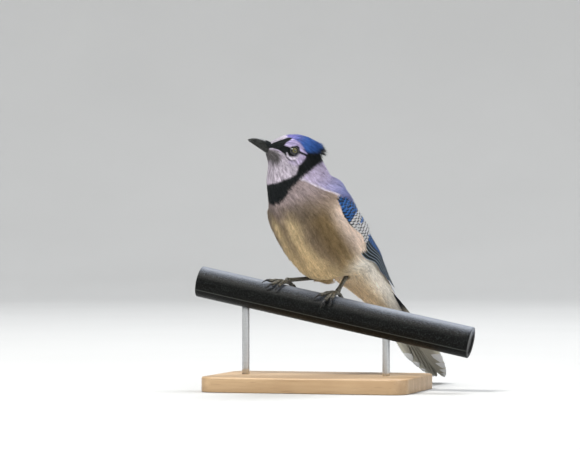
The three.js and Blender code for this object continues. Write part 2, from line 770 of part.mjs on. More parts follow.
function legParts(side, torsoGrown) {
  const { heel: heelAt, bareTo, cuff } = LEGS[side];
  const ankle = perchPoint(FEET[side].ankle);
  const heel = place(...heelAt);
  const shin = lineCurve(ankle, heel);
  const length = ankle.distanceTo(heel);
  const stub = FOOT_STUB.length / length;
  const made = {};

  const plates = 2 * PLATES.count;
  const ends = (k) => TARSUS_ENDS * (2 * k - 1) ** 4;
  const shinRadius = (k) => TARSUS_RADIUS * (1 + ends(k) + PLATES.rise * ((k * plates) % 2));
  const tarsus = (lift) =>
    tube(shin, [stub + (GAP - lift) / length, bareTo], (k) => lift + shinRadius(k), plates, 8);
  made[`tarsus_${side}`] = largest(tarsus(0).subtract(torsoGrown));

  const cuffAxis = lineCurve(ankle, ankle.clone().lerp(heel, cuff.sunk * CUFF_RUN));
  const cuffFrom = (bareTo + GAP / length) / (cuff.sunk * CUFF_RUN);
  const cuffRadius = (k) => mix(cuff.radius, cuff.flare, smooth(k * 2));
  made[`thigh_${side}`] = largest(tube(cuffAxis, [cuffFrom, 1], cuffRadius, 6, 12).subtract(torsoGrown));

  const palm = new THREE.SphereGeometry(PALM_RADIUS, 8, 6);
  palm.translate(ankle.x, ankle.y, ankle.z);
  const toes = [tube(shin, [-0.01, stub], () => TARSUS_RADIUS * FOOT_STUB.swell, 1, 10), solidOf(palm)];
  for (const [name, tip] of Object.entries(FEET[side].tips)) {
    const path = toeCurve(FEET[side], tip);
    const joint = 1 - CLAW_SHARE;
    const pads = (k) => 1 + TOE_PADS.rise * Math.cos(TOE_PADS.count * 2 * Math.PI * k);
    toes.push(tube(path, [0, joint], (k) => TOE_RADIUS * mix(...TOE_TAPER, k) * pads(k), 6, 6, ALONG_X));
    const clawFrom = joint + GAP / path.getLength();
    made[`claw_${side}_${name}`] = tube(path, [clawFrom, 1], (k) => mix(...CLAW_RADIUS, k), 5, 6, ALONG_X);
  }
  made[`foot_${side}`] = largest(joined(toes).subtract(tarsus(GAP)));
  return made;
}

// Materials

const looks = {
  feather_blue: { color: 0x4a6fb4, roughness: 0.75 },
  feather_grey: { color: 0xb9b0ac, roughness: 0.85 },
  feather_white: { color: 0xe6e3e0, roughness: 0.85 },
  wing_blue: { color: 0x2c62b0, roughness: 0.65 },
  bill_black: { color: 0x17181a, roughness: 0.4 },
  eye_brown: { color: 0x1c120b, roughness: 0.08 },
  leg_black: { color: 0x232225, roughness: 0.55 },
  claw_black: { color: 0x141416, roughness: 0.35 },
  perch_black: { color: 0x141518, roughness: 0.45 },
  stand_wood: { color: 0xb08a5e, roughness: 0.55 },
  stand_steel: { color: 0xb4b7ba, roughness: 0.3, metalness: 1 },
};

const LEG_LOOKS = { tarsus: "leg_black", foot: "leg_black", thigh: "feather_grey", claw: "claw_black" };

const part = new THREE.Group();

function addNode(name, solid, look) {
  const { vertProperties, triVerts, numProp } = solid.getMesh();
  if (numProp !== 3) throw new Error(`${name} has ${numProp} values at each vertex`);
  const shared = new THREE.BufferGeometry();
  shared.setAttribute("position", new THREE.BufferAttribute(new Float32Array(vertProperties), 3));
  shared.setIndex(new THREE.BufferAttribute(new Uint32Array(triVerts), 1));
  const geometry = shared.toNonIndexed();
  geometry.computeVertexNormals();
  const mesh = new THREE.Mesh(geometry, new THREE.MeshStandardMaterial(looks[look]));
  mesh.name = name;
  part.add(mesh);
}

// Putting it together

const perch = perchForm();
const perchGrown = perchForm(GAP);
addNode("perch", perch, "perch_black");
addNode("stand_base", baseSolid(), "stand_wood");
addNode("stand_rod_left", rodSolid(ROD_X[0], perchGrown), "stand_steel");
addNode("stand_rod_right", rodSolid(ROD_X[1], perchGrown), "stand_steel");

const rooms = (margin) => wingRoom(1, margin).add(wingRoom(-1, margin));
const whole = bodyForm(0).subtract(rooms(0));
const wholeGrown = bodyForm(GAP);
const roundWings = wholeGrown.subtract(rooms(GAP));
const above = (cut) => slab(cut, CUT_REACH, (CUT_REACH + GAP) / 2);
const below = (cut) => slab(cut, CUT_REACH, -(CUT_REACH + GAP) / 2);

let head = joined([whole.intersect(above(HEAD_CUT)), ...crestVanes(), ...bristleVanes()]);
const eyes = { left: eyePlace(1), right: eyePlace(-1) };
for (const [side, { middle, out }] of Object.entries(eyes)) {
  const hand = side === "left" ? 1 : -1;
  const lid = new THREE.TorusGeometry(EYE.shows, EYE.lid, EYE_SIDES / 3, EYE_SIDES);
  lid.applyQuaternion(new THREE.Quaternion().setFromUnitVectors(new THREE.Vector3(0, 0, 1), out));
  const rim = middle.clone().addScaledVector(out, Math.sqrt(EYE.radius ** 2 - EYE.shows ** 2));
  lid.translate(rim.x, rim.y, rim.z);
  head = head.add(solidOf(lid)).subtract(eyeSolid(hand, EYE.radius + GAP)).subtract(gapeGroove(hand));
  addNode(`eye_${side}`, eyeSolid(hand, EYE.radius), "eye_brown");
}
addNode("head", largest(head), "feather_blue");
addNode("bill_upper", largest(billHalf(1).subtract(wholeGrown)), "bill_black");
addNode("bill_lower", largest(billHalf(-1).subtract(wholeGrown)), "bill_black");

addNode("neck", largest(whole.intersect(below(HEAD_CUT)).intersect(above(NECK_CUT))), "feather_grey");
addNode("torso", largest(whole.intersect(below(NECK_CUT)).intersect(above(RUMP_CUT))), "feather_grey");
const rump = joined([whole.intersect(below(RUMP_CUT)), ...rumpVanes()]).subtract(tailRoom());
addNode("rump", largest(rump), "feather_white");

for (const [side, hand] of [
  ["left", 1],
  ["right", -1],
]) {
  addNode(`wing_${side}`, largest(wingSolid(hand).subtract(roundWings)), "wing_blue");
  for (const [name, solid] of Object.entries(legParts(side, wholeGrown))) {
    addNode(name, solid, LEG_LOOKS[name.split("_")[0]]);
  }
}
addNode("tail", tailSolid(), "wing_blue");

export default part;
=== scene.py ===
# A life-size blue jay on a short cut length of thick black cable, which a plain stand holds up.
# Values are in millimetres and degrees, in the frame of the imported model. The meshes, the camera and the
# lights are in metres.
# The bird is laid out on a chart: a station along the body, from the root of the bill to the tail's
# coverts, and an angle round it, from the middle of the back towards the bird's left.
import math

import bpy
import numpy as np
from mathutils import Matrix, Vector
from mathutils.kdtree import KDTree


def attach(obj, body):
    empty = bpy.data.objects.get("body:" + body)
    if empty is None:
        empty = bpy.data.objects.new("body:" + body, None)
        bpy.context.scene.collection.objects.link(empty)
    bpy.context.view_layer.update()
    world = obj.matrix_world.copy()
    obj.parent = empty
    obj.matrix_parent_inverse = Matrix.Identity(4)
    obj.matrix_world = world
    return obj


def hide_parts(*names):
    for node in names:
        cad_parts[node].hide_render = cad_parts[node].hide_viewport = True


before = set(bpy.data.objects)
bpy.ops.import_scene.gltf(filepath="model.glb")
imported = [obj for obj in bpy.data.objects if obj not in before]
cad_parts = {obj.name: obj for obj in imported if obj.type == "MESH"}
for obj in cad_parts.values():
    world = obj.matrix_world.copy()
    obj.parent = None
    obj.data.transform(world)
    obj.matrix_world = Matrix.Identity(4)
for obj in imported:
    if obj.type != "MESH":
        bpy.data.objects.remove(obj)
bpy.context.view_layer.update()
rng = np.random.default_rng(11)

# The bird's stance. f is the distance ahead of the origin and u the height over the middle of the perch at
# the feet. The neck turns about an upright axis.
PERCH_HEIGHT = 69.0
HEADING = math.radians(243)
NECK_TURN = math.radians(-33)
NECK_AXIS_F = 26.0
NECK_STATIONS = (3.4, 7.6)

# The body's outline by station: the back line and the belly line as f and u, and the half width between them
BODY = np.array([
    (48.8, 127.4, 50.4, 117.8, 5.2),  # root of the bill
    (44.3, 130.6, 49.3, 115.0, 8.6),  # forehead
    (34.0, 134.6, 48.7, 110.5, 11.6),  # front of the eye
    (21.0, 134.4, 49.2, 105.0, 13.2),  # back of the eye
    (11.0, 128.4, 50.3, 98.5, 14.6),  # hind crown
    (5.5, 118.5, 50.6, 90.5, 16.2),  # nape
    (-0.8, 108.8, 49.6, 80.0, 21.2),  # collar
    (-9.0, 98.5, 45.4, 67.5, 27.6),  # shoulder
    (-17.0, 88.5, 38.0, 54.5, 31.0),  # breast
    (-26.5, 78.3, 28.5, 41.8, 32.0),  # widest part
    (-37.0, 68.0, 15.6, 29.2, 31.6),  # belly
    (-47.5, 56.6, 0.5, 19.3, 28.6),  # low belly
    (-58.5, 44.5, -22.5, 20.6, 24.0),  # over the legs
    (-68.5, 32.5, -38.0, 12.8, 19.0),  # vent
    (-77.5, 21.0, -58.0, 2.0, 14.6),  # root of the tail
    (-90.0, 6.0, -75.5, -9.5, 12.2),  # coverts
    (-101.0, -9.0, -91.5, -19.0, 9.2),  # end of the coverts
    (-110.5, -19.5, -107.0, -23.5, 4.5),  # their tip
])
LAST_STATION = len(BODY) - 1.0

# A pair below that goes into ramp is a start and an end: stations, or angles from the middle of the back.

# The flank's fluffed feathers, which hide the lower edge of the folded wing. FLANK_EDGE is the angle of
# their upper edge by station, and FLANK_RISE is counted from that edge.
FLANK_LIFT, FLANK_FRONT, FLANK_END = 5.6, (6.5, 7.4), (11.0, 9.5)
FLANK_RISE, FLANK_BELLY = (-4, 8), (135, 97)
FLANK_EDGE = ([6.6, 7.0, 7.4, 8.2, 8.8, 9.8, 11.0, 11.6], [66, 75, 81, 86, 85, 75, 64, 62])

# The shoulder's feathers, which hide the wing's front and inner part, and where they end by station
SHOULDER_LIFT, SHOULDER_FRONT, SHOULDER_OUTER, SHOULDER_INNER = 4.6, (6.35, 7.15), (104, 88), (6, 20)
SHOULDER_EDGE = ([6.2, 6.6, 7.0, 7.4, 7.9, 8.5], [104, 82, 64, 55, 42, 26])

# Where the folded wing hides the body, and how near the back by station
UNDER_WING, UNDER_WING_BACK, UNDER_WING_RUN, UNDER_WING_MARGIN = (7.1, 13.0), (30, 16), 5, 2

# Plumage by station: the distance between feathers, their length, the coat's depth and the width to length
COAT_STATIONS = [0.0, 1.0, 2.0, 3.4, 4.6, 6.5, 9.0, 13.0, 17.0]
SPACING = [0.75, 0.95, 1.15, 1.4, 1.7, 1.9, 2.1, 2.2, 2.1]
LENGTH = [1.6, 2.4, 3.4, 4.6, 6.2, 8.5, 11.0, 12.5, 12.0]
DEPTH = [0.25, 0.4, 0.6, 0.9, 1.3, 1.9, 2.4, 2.2, 1.2]
SLIMNESS = ([0, 3, 6, 17], [0.42, 0.45, 0.50, 0.50])

# Colours, linear
BLACK = np.array((0.009, 0.011, 0.012))
WHITE = np.array((0.74, 0.68, 0.78))
LAVENDER = np.array((0.19, 0.17, 0.44))
BLUE = np.array((0.030, 0.088, 0.300))
BROW = np.array((0.54, 0.46, 0.66))
THROAT = np.array((0.48, 0.43, 0.50))
CHIN = np.array((0.060, 0.058, 0.050))
NAPE = np.array((0.54, 0.465, 0.63))
MANTLE = np.array((0.19, 0.21, 0.41))
SIDE = np.array((0.88, 0.71, 0.60))
BREAST_TOP = np.array((0.330, 0.265, 0.265))
BREAST = np.array((0.255, 0.193, 0.132))
FLANK = np.array((0.218, 0.150, 0.074))
SHADE = np.array((0.125, 0.095, 0.060))
BELLY = np.array((0.82, 0.64, 0.37))
VENT = np.array((0.92, 0.86, 0.76))

# Markings on the chart, as [station, angle]. Each side of the bird has them alike.
BAND = [
    (4.10, 60), (4.30, 70), (4.40, 80), (4.45, 90), (4.65, 95), (4.85, 101), (4.85, 115), (4.75, 127),
    (4.70, 138), (4.50, 164), (4.55, 200), (6.15, 200), (6.10, 174), (6.05, 160), (5.90, 148), (5.70, 137),
    (5.50, 123), (5.32, 110), (5.28, 100), (5.20, 90), (5.20, 75), (5.17, 59), (5.25, 40), (5.40, 20),
    (5.45, -20), (5.05, -20), (4.85, 14), (4.65, 32), (4.45, 47),
]
CROWN = [
    (1.95, -20), (2.05, 32), (2.4, 42), (2.8, 51), (3.15, 53), (3.5, 58), (3.85, 62), (4.1, 62), (4.35, 57),
    (4.6, 40), (4.85, 20), (5.0, -20),
]
FRONT = [
    (-0.6, 40), (0.9, 42), (1.45, 43), (1.85, 42), (2.15, 36), (2.42, 40), (2.38, 50), (2.15, 60), (2.1, 74),
    (2.65, 77), (3.3, 77), (3.3, 98), (2.75, 99), (2.15, 97), (1.35, 89), (0.65, 81), (-0.6, 74),
]
SCAPULAR_LINE = [(5.27, 101), (5.45, 96), (5.9, 90), (6.35, 83), (6.85, 77), (7.3, 73)]
BACK = [
    (5.1, -20), (5.2, 75), *SCAPULAR_LINE, (8.2, 66), (10, 55), (12, 45), (14, 52), (18, 60), (18, -20),
]
CHIN_PATCH = [
    (-0.6, 86), (0.6, 92), (1.4, 98), (2.2, 103), (2.8, 112), (3.0, 128), (2.4, 144), (1.6, 156), (1.2, 200),
    (-0.6, 200),
]
UNDERTAIL = [
    (11.3, 200), (11.9, 151), (10.9, 115), (10.8, 93), (11.2, 66), (12.5, 50), (14, 52), (18, 60), (18, 200),
]
PALE_STRIP = [
    (6.9, 155), (7.6, 153), (8.3, 158), (9.0, 155), (9.8, 147), (11.2, 140), (11.6, 200), (10.2, 200),
    (9.6, 180), (8.8, 174), (8.0, 173), (7.2, 168),
]
# UNDER_BAND takes the colour SHADE: painted shade just below the black band
UNDER_BAND = [
    (6.3, 172), (6.35, 140), (6.45, 114), (7.0, 110), (7.45, 118), (7.5, 136), (7.3, 158), (6.9, 174),
]
CHEEK = [(3.3, 98), (3.9, 92), (4.15, 80), (4.15, 68), (4.3, 72), (4.42, 90), (4.2, 98), (3.7, 103)]
EYE_LINE = [(3.45, 74), (3.75, 72), (4.05, 68), (4.35, 62)]
CRESCENT = [(2.78, 93), (3.05, 96.5), (3.35, 97), (3.60, 94.5), (3.78, 89), (3.86, 82), (3.84, 76)]
CRESCENT_RIM = [(2.75, 99), (3.1, 101.5), (3.5, 99.5), (3.8, 95), (3.9, 91)]
GAPE_LINE = [(-0.2, 79), (0.65, 86), (1.35, 92), (2.3, 99)]
MM_PER_STATION, MM_PER_DEGREE = 8.0, 0.24  # round the head, for the width of the markings' edges

# Marks in their order: shape, paint, width along a line or None inside an outline, softness, strength
BREAST_MARKS = [
    (PALE_STRIP, BELLY, None, 8, 0.95),
    # painted shade below the black band
    (UNDER_BAND, SHADE, None, 7, 0.6),
    (CHIN_PATCH, CHIN, None, 7, 0.85),
    (CHEEK, BROW, None, 2, 0.7),
]
LAST_MARKS = [
    (SCAPULAR_LINE, WHITE, 0.7, 0.9, 0.8),
    (FRONT, BLACK, None, 0.7, 1.0),
    (GAPE_LINE, BROW, 0.7, 0.5, 0.7),
    (BAND, BLACK, None, 1.0, 1.0),
    (CRESCENT, WHITE, 0.9, 0.6, 0.85),
    (CRESCENT_RIM, BLACK, 0.5, 0.4, 0.8),
    (EYE_LINE, BLACK, 1.3, 0.5, 1.0),
]
CROWN_SOFT, UNDERTAIL_SOFT, BACK_SOFT = 1.2, 10, 1.5

# Where the colours turn into each other
BROW_STATIONS, BROW_ANGLES, BROW_BLUE, BROW_BLUENESS = (1.6, 2.1), (90, 80), (76, 62), 0.35
BODY_STATIONS, BREAST_TOP_STATIONS, FLANK_OUTER, FLANK_INNER = (4.9, 5.4), (7.7, 5.9), (60, 90), (150, 120)
SIDE_STATIONS, SIDE_ANGLES, LOW_STATIONS, LOW_PALENESS = (6.7, 8.0), (114, 90), (9.4, 11.6), 0.45
FOREHEAD_ANGLES, FOREHEAD_STATIONS, FOREHEAD_PAINT = (45, 37), (2.1, 1.8), WHITE * 0.68
CROWN_BLUE, NAPE_TO_BACK, BACK_BLUE = (2.1, 3.5), (5.6, 7.4), (11.0, 13.0)
# COVERT_PAINTED_SHADOW is painted shadow over the stations given
UNDERTAIL_ANGLES, UNDERTAIL_WARMTH, COVERT_SHADOW_STATIONS, COVERT_PAINTED_SHADOW = (104, 144), 0.6, (13.6, 15.6), 0.55

EYE_STATION, EYE_ANGLE, EYE_SUNK, EYE_RADIUS, EYE_SHOWS = 3.2, 79.0, 2.3, 3.9, 2.95
# The dark ring's edge from the eye's middle, and the width without feathers past what shows of the eye
EYE_BLACK, EYE_BARE = (3.8, 3.4), 0.75


# Maths on arrays


def smooth(x):
    x = np.clip(x, 0.0, 1.0)
    return x * x * (3.0 - 2.0 * x)


def ramp(x, start, end):
    """A share that goes smoothly from 0 at start to 1 at end. The end may be lower than the start."""
    return smooth((x - start) / (end - start))


def mix(a, b, k):
    return a + (b - a) * k


def unit(v):
    return v / np.maximum(np.linalg.norm(v, axis=-1, keepdims=True), 1e-9)


def round_turn(count):
    return np.linspace(0, 2 * math.pi, count, endpoint=False)


def place(f, l, u, turn=0.0):
    """Points of the bird's own frame, with the neck turned by the share given, in the part's frame."""
    c, s = np.cos(NECK_TURN * turn), np.sin(NECK_TURN * turn)
    ahead = NECK_AXIS_F + (f - NECK_AXIS_F) * c - l * s
    aside = (f - NECK_AXIS_F) * s + l * c
    x = ahead * math.cos(HEADING) - aside * math.sin(HEADING)
    y = ahead * math.sin(HEADING) + aside * math.cos(HEADING)
    return np.stack(np.broadcast_arrays(x, y, PERCH_HEIGHT + u), axis=-1)


def along(t):
    """A smooth curve through the rows of BODY."""
    i = np.clip(np.floor(t).astype(int), 0, len(BODY) - 2)
    k = (t - i)[..., None]
    a, b, c, d = (BODY[np.clip(i + n, 0, len(BODY) - 1)] for n in (-1, 0, 1, 2))
    return b + 0.5 * k * (c - a + k * (2 * a - 5 * b + 4 * c - d + k * (3 * (b - c) + d - a)))


def chart(t, angle, lift=0.0):
    """Points over the body's skin."""
    t, angle, lift = np.broadcast_arrays(np.clip(t, 0.0, LAST_STATION), angle, lift)
    row = along(t)
    back, belly = row[..., 0:2], row[..., 2:4]
    deep = np.linalg.norm(back - belly, axis=-1) / 2
    up = (back - belly) / (2 * deep[..., None])
    middle = (back + belly) / 2
    y = (deep + lift) * np.cos(np.radians(angle))
    l = (row[..., 4] + lift) * np.sin(np.radians(angle))
    turn = 1 - ramp(t, *NECK_STATIONS)
    return place(middle[..., 0] + up[..., 0] * y, l, middle[..., 1] + up[..., 1] * y, turn)


def scales_of(sheet, t, angle):
    """Millimetres per unit along and per degree round a sheet, and its outward direction."""
    step = 0.06
    ahead = (sheet(t + step, angle, 0.0) - sheet(t, angle, 0.0)) / step
    aside = sheet(t, angle + 0.5, 0.0) - sheet(t, angle - 0.5, 0.0)
    out = unit(np.cross(aside, ahead))
    return np.linalg.norm(ahead, axis=-1), np.linalg.norm(aside, axis=-1), out


def aside_of(angle):
    """The angle from the middle of the back, on either side."""
    return np.abs((angle + 180.0) % 360.0 - 180.0)


def flank_lift(t, angle):
    """How far the flank's feathers stand out from the body."""
    aside = aside_of(angle)
    across = ramp(aside - np.interp(t, *FLANK_EDGE), *FLANK_RISE) * ramp(aside, *FLANK_BELLY)
    return FLANK_LIFT * across * ramp(t, *FLANK_FRONT) * ramp(t, *FLANK_END)


def either_lift(t, angle):
    """The rise of the flank's feathers or of the shoulder's, whichever is higher."""
    aside = aside_of(angle)
    across = ramp(aside, *SHOULDER_OUTER) * ramp(aside, *SHOULDER_INNER)
    return np.maximum(flank_lift(t, angle), SHOULDER_LIFT * ramp(t, *SHOULDER_FRONT) * across)


def flat(t, angle):
    return np.zeros(np.shape(t))


# Streaks: smooth random shades on the chart

STREAKS = np.random.default_rng(5).uniform(-1.0, 1.0, (61, 251))


def streaks(t, angle, rows, columns):
    """Shades from -1 to 1 with so many rows to a station and columns round the body."""
    x, y = np.asarray(t) * rows + 3.0, (np.asarray(angle) + 180.0) / 360.0 * columns
    i, j = np.floor(x).astype(int), np.floor(y).astype(int)
    high, wide = STREAKS.shape
    corner = [[STREAKS[(i + m) % high, (j + n) % wide] for n in (0, 1)] for m in (0, 1)]
    a, b = smooth(x - i), smooth(y - j)
    return mix(mix(corner[0][0], corner[1][0], a), mix(corner[0][1], corner[1][1], a), b)


# Markings


def over(colour, paint, share):
    """The colour with a share of the paint over it."""
    return mix(colour, paint, share[..., None])


def edge_distance(t, angle, outline, closed):
    """Distances in millimetres from an outline on the chart, negative inside a closed one."""
    x, y = t * MM_PER_STATION, aside_of(angle) * MM_PER_DEGREE
    corners = [(a * MM_PER_STATION, b * MM_PER_DEGREE) for a, b in outline]
    ends = corners[1:] + corners[:1] if closed else corners[1:]
    nearest = np.full(np.shape(x), 1e9)
    inside = np.zeros(np.shape(x), bool)
    for (ax, ay), (bx, by) in zip(corners, ends):
        dx, dy = bx - ax, by - ay
        k = np.clip(((x - ax) * dx + (y - ay) * dy) / (dx * dx + dy * dy), 0, 1)
        nearest = np.minimum(nearest, np.hypot(x - ax - k * dx, y - ay - k * dy))
        if closed and ay != by:
            inside ^= ((ay > y) != (by > y)) & (x < ax + (y - ay) * dx / dy)
    return np.where(inside, -nearest, nearest)


def mark(colour, t, angle, shape, paint, width, soft, strength=1.0):
    """The colour with paint inside an outline, or along a line that has a width."""
    distance = edge_distance(t, angle, shape, closed=width is None) - (width or 0.0) / 2
    return over(colour, paint, strength * smooth(0.5 - distance / soft))


def markings(t, angle):
    """The plumage's colour at places on the chart."""
    aside = aside_of(angle)
    above_eye = over(BROW, LAVENDER, BROW_BLUENESS * ramp(aside, *BROW_BLUE))
    colour = over(THROAT, above_eye, ramp(t, *BROW_STATIONS) * ramp(aside, *BROW_ANGLES))
    body = ramp(t, *BODY_STATIONS)
    breast = over(BREAST, FLANK, ramp(aside, *FLANK_OUTER) * ramp(aside, *FLANK_INNER))
    breast = over(breast, BREAST_TOP, ramp(t, *BREAST_TOP_STATIONS))
    colour = over(colour, breast, body)
    colour = over(colour, SIDE, body * ramp(t, *SIDE_STATIONS) * ramp(aside, *SIDE_ANGLES))
    colour = over(colour, BELLY, LOW_PALENESS * ramp(t, *LOW_STATIONS))
    for values in BREAST_MARKS:
        colour = mark(colour, t, angle, *values)
    # the pale top of the forehead: partly the bird's own lavender-white and partly painted highlight where
    # the light catches it
    forehead = ramp(aside, *FOREHEAD_ANGLES) * ramp(t, *FOREHEAD_STATIONS)
    colour = over(colour, FOREHEAD_PAINT, forehead)
    crown = over(LAVENDER, BLUE, ramp(t, *CROWN_BLUE))
    colour = mark(colour, t, angle, CROWN, crown, None, CROWN_SOFT)
    under = over(VENT, BELLY, UNDERTAIL_WARMTH * ramp(aside, *UNDERTAIL_ANGLES))
    colour = mark(colour, t, angle, UNDERTAIL, under, None, UNDERTAIL_SOFT)
    # painted shadow: the ends of the undertail coverts are darker, where the tail and the cable shade them
    colour = colour * mix(1.0, COVERT_PAINTED_SHADOW, ramp(t, *COVERT_SHADOW_STATIONS))[..., None]
    back = over(NAPE, over(MANTLE, BLUE, ramp(t, *BACK_BLUE)), ramp(t, *NAPE_TO_BACK))
    colour = mark(colour, t, angle, BACK, back, None, BACK_SOFT)
    for values in LAST_MARKS:
        colour = mark(colour, t, angle, *values)
    eye = np.hypot((t - EYE_STATION) * MM_PER_STATION, (aside - EYE_ANGLE) * MM_PER_DEGREE)
    return over(colour, BLACK, ramp(eye, *EYE_BLACK))


# Meshes


def add_piece(name, points, faces, look, slot, stands_for=(), attributes=None, bake=None, normals=None):
    """A mesh object that rides on the root body. faces is a list of arrays of corner numbers."""
    mesh = bpy.data.meshes.new(name)
    mesh.vertices.add(len(points))
    mesh.vertices.foreach_set("co", (np.asarray(points) / 1000).astype(np.float32).ravel())
    corners = np.concatenate([f.ravel() for f in faces])
    sizes = np.concatenate([np.full(len(f), f.shape[1]) for f in faces])
    mesh.loops.add(len(corners))
    mesh.loops.foreach_set("vertex_index", corners.astype(np.int32))
    mesh.polygons.add(len(sizes))
    mesh.polygons.foreach_set("loop_start", (np.cumsum(sizes) - sizes).astype(np.int32))
    mesh.update(calc_edges=True)
    mesh.polygons.foreach_set("use_smooth", np.ones(len(sizes), bool))
    for key, values in (attributes or {}).items():
        kind, field = ("FLOAT_COLOR", "color") if key == "paint" else ("FLOAT_VECTOR", "vector")
        layer = mesh.attributes.new(key, kind, "POINT")
        layer.data.foreach_set(field, np.asarray(values).astype(np.float32).ravel())
    if bake is not None:
        layer = mesh.uv_layers.new(name="OFBake")
        layer.data.foreach_set("uv", np.asarray(bake)[corners].astype(np.float32).ravel())
    if normals is not None:
        mesh.normals_split_custom_set_from_vertices(normals)
    mesh.materials.append(look)
    piece = bpy.data.objects.new(name, mesh)
    bpy.context.scene.collection.objects.link(piece)
    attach(piece, "root")
    if stands_for:
        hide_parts(*stands_for)
    return piece


def painted(colour):
    """The attribute that holds a coat's colours, with their fourth number."""
    return {"paint": np.concatenate([colour, np.ones(colour.shape[:-1] + (1,))], axis=-1)}


def chart_bake(t, angle):
    """A place on the map for baking, for each place on the chart."""
    return np.stack([t / len(BODY), (angle + 180) / 360], axis=-1)


def grid_faces(rows, columns, closed=False):
    """Quads over a grid of points, row by row, whose columns may close on themselves."""
    wide = columns if closed else columns - 1
    i, j = np.meshgrid(np.arange(rows - 1), np.arange(wide), indexing="ij")
    a = i * columns + j
    b = i * columns + (j + 1) % columns
    return np.stack([a, b, b + columns, a + columns], axis=-1).reshape(-1, 4)


def rings_mesh(rings):
    """Points and faces of a closed form through rings of points, with a fan over each end."""
    rows, columns = rings.shape[:2]
    points = np.concatenate([rings.reshape(-1, 3), rings[0].mean(0)[None], rings[-1].mean(0)[None]])
    j = np.arange(columns)
    after = (j + 1) % columns
    first = np.stack([np.full(columns, rows * columns), after, j], axis=-1)
    top = (rows - 1) * columns
    last = np.stack([np.full(columns, rows * columns + 1), top + j, top + after], axis=-1)
    return points, [grid_faces(rows, columns, closed=True), first, last]


def joined(parts):
    """Several meshes as one: lists of points and of faces, each with its own numbers."""
    points, faces, start = [], [], 0
    for some_points, some_faces in parts:
        points.append(some_points)
        faces += [f + start for f in some_faces]
        start += len(some_points)
    return np.concatenate(points), faces


# Materials


class Value:
    """What a node gives, in a form that takes sums."""

    def __init__(self, look, socket):
        self.look, self.socket = look, socket

    def maths(self, operation, *others):
        made = self.look.node("ShaderNodeMath", dict(enumerate((self, *others))), operation=operation)
        return Value(self.look, made.outputs[0])

    def __add__(self, other):
        return self.maths("ADD", other)

    def __sub__(self, other):
        return self.maths("SUBTRACT", other)

    def __mul__(self, other):
        return self.maths("MULTIPLY", other)

    def __abs__(self):
        return self.maths("ABSOLUTE")

    def ramp(self, start, end):
        """A share that goes smoothly from 0 at start to 1 at end."""
        inputs = {"Value": self, "From Min": start, "From Max": end}
        made = self.look.node("ShaderNodeMapRange", inputs, interpolation_type="SMOOTHSTEP")
        return Value(self.look, made.outputs["Result"])


class Look:
    """A material in the making."""

    def __init__(self, name, **values):
        self.material = bpy.data.materials.new(name)
        self.material.use_nodes = True
        self.tree = self.material.node_tree
        self.shader = self.tree.nodes["Principled BSDF"]
        for key, value in values.items():
            self.shader.inputs[key.replace("_", " ")].default_value = value

    def feed(self, socket, value):
        if isinstance(value, Value):
            self.tree.links.new(value.socket, socket)
        elif isinstance(socket.default_value, (int, float, str)):
            socket.default_value = value
        else:
            socket.default_value = (*value, 1.0)[: len(socket.default_value)]

    def node(self, kind, inputs=None, **settings):
        made = self.tree.nodes.new(kind)
        for key, value in settings.items():
            setattr(made, key, value)
        for key, value in (inputs or {}).items():
            self.feed(made.inputs[key], value)
        return made

    def set(self, key, value):
        self.feed(self.shader.inputs[key], value)

    def attribute(self, name):
        """The three numbers of an attribute."""
        vector = self.node("ShaderNodeAttribute", attribute_name=name).outputs["Vector"]
        made = self.node("ShaderNodeSeparateXYZ", {0: Value(self, vector)})
        return [Value(self, socket) for socket in made.outputs]

    def spot(self):
        """The place in the object's own coordinates."""
        return Value(self, self.node("ShaderNodeTexCoord").outputs["Object"])

    def noise(self, scale, detail=4.0, stretch=(1.0, 1.0, 1.0)):
        """Noise over the object, in features per metre."""
        sized = self.node("ShaderNodeMapping", {"Vector": self.spot(), "Scale": stretch}).outputs[0]
        inputs = {"Vector": Value(self, sized), "Scale": scale, "Detail": detail}
        return Value(self, self.node("ShaderNodeTexNoise", inputs).outputs["Fac"])

    def blend(self, share, a, b, kind="MIX"):
        made = self.node("ShaderNodeMix", data_type="RGBA", blend_type=kind)
        for number, value in ((0, share), (6, a), (7, b)):
            self.feed(made.inputs[number], value)
        return Value(self, made.outputs[2])

    def shaded(self, colour, shade):
        """The colour times a shade of grey."""
        inputs = {"Red": shade, "Green": shade, "Blue": shade}
        grey = self.node("ShaderNodeCombineColor", inputs).outputs[0]
        return self.blend(1.0, colour, Value(self, grey), "MULTIPLY")

    def finish(self, colour, height=None, distance=0.0):
        """The material, with its colour and with bumps of some height in metres."""
        self.set("Base Color", colour)
        if height is not None:
            bump = self.node("ShaderNodeBump", {"Height": height, "Distance": distance})
            self.set("Normal", Value(self, bump.outputs[0]))
        return self.material


def plumage_look():
    """Soft feathers that carry their colour in the attribute paint."""
    grain, contrast, darkest = 900.0, 0.7, 0.65
    look = Look("plumage", Roughness=0.7, Specular_IOR_Level=0.08, Sheen_Weight=0.02, Sheen_Roughness=0.5)
    paint = Value(look, look.node("ShaderNodeAttribute", attribute_name="paint").outputs["Color"])
    return look.finish(look.shaded(paint, look.noise(grain) * contrast + darkest))


# Vanes: colours, shares and edges. An edge is a pair of places from the tip in millimetres, of places
# across the vane from -1 to 1, or of levels of the bars' wave.
VANE_INK, VANE_RIM = (0.008, 0.017, 0.019), (0.66, 0.76, 0.80)
VANE_WHITE, VANE_SHAFT = (0.78, 0.77, 0.77), (0.015, 0.014, 0.016)
# UNDER_PALE and UNDER_GREY are the underside's own grey painted lighter: painted light on an underside that
# the lamps leave in shade
UNDER_PALE, UNDER_GREY = (0.80, 0.76, 0.63), (0.46, 0.43, 0.35)
UNDER_EDGE, UNDER_TIP = (0.90, 0.88, 0.80), (0.94, 0.93, 0.92)
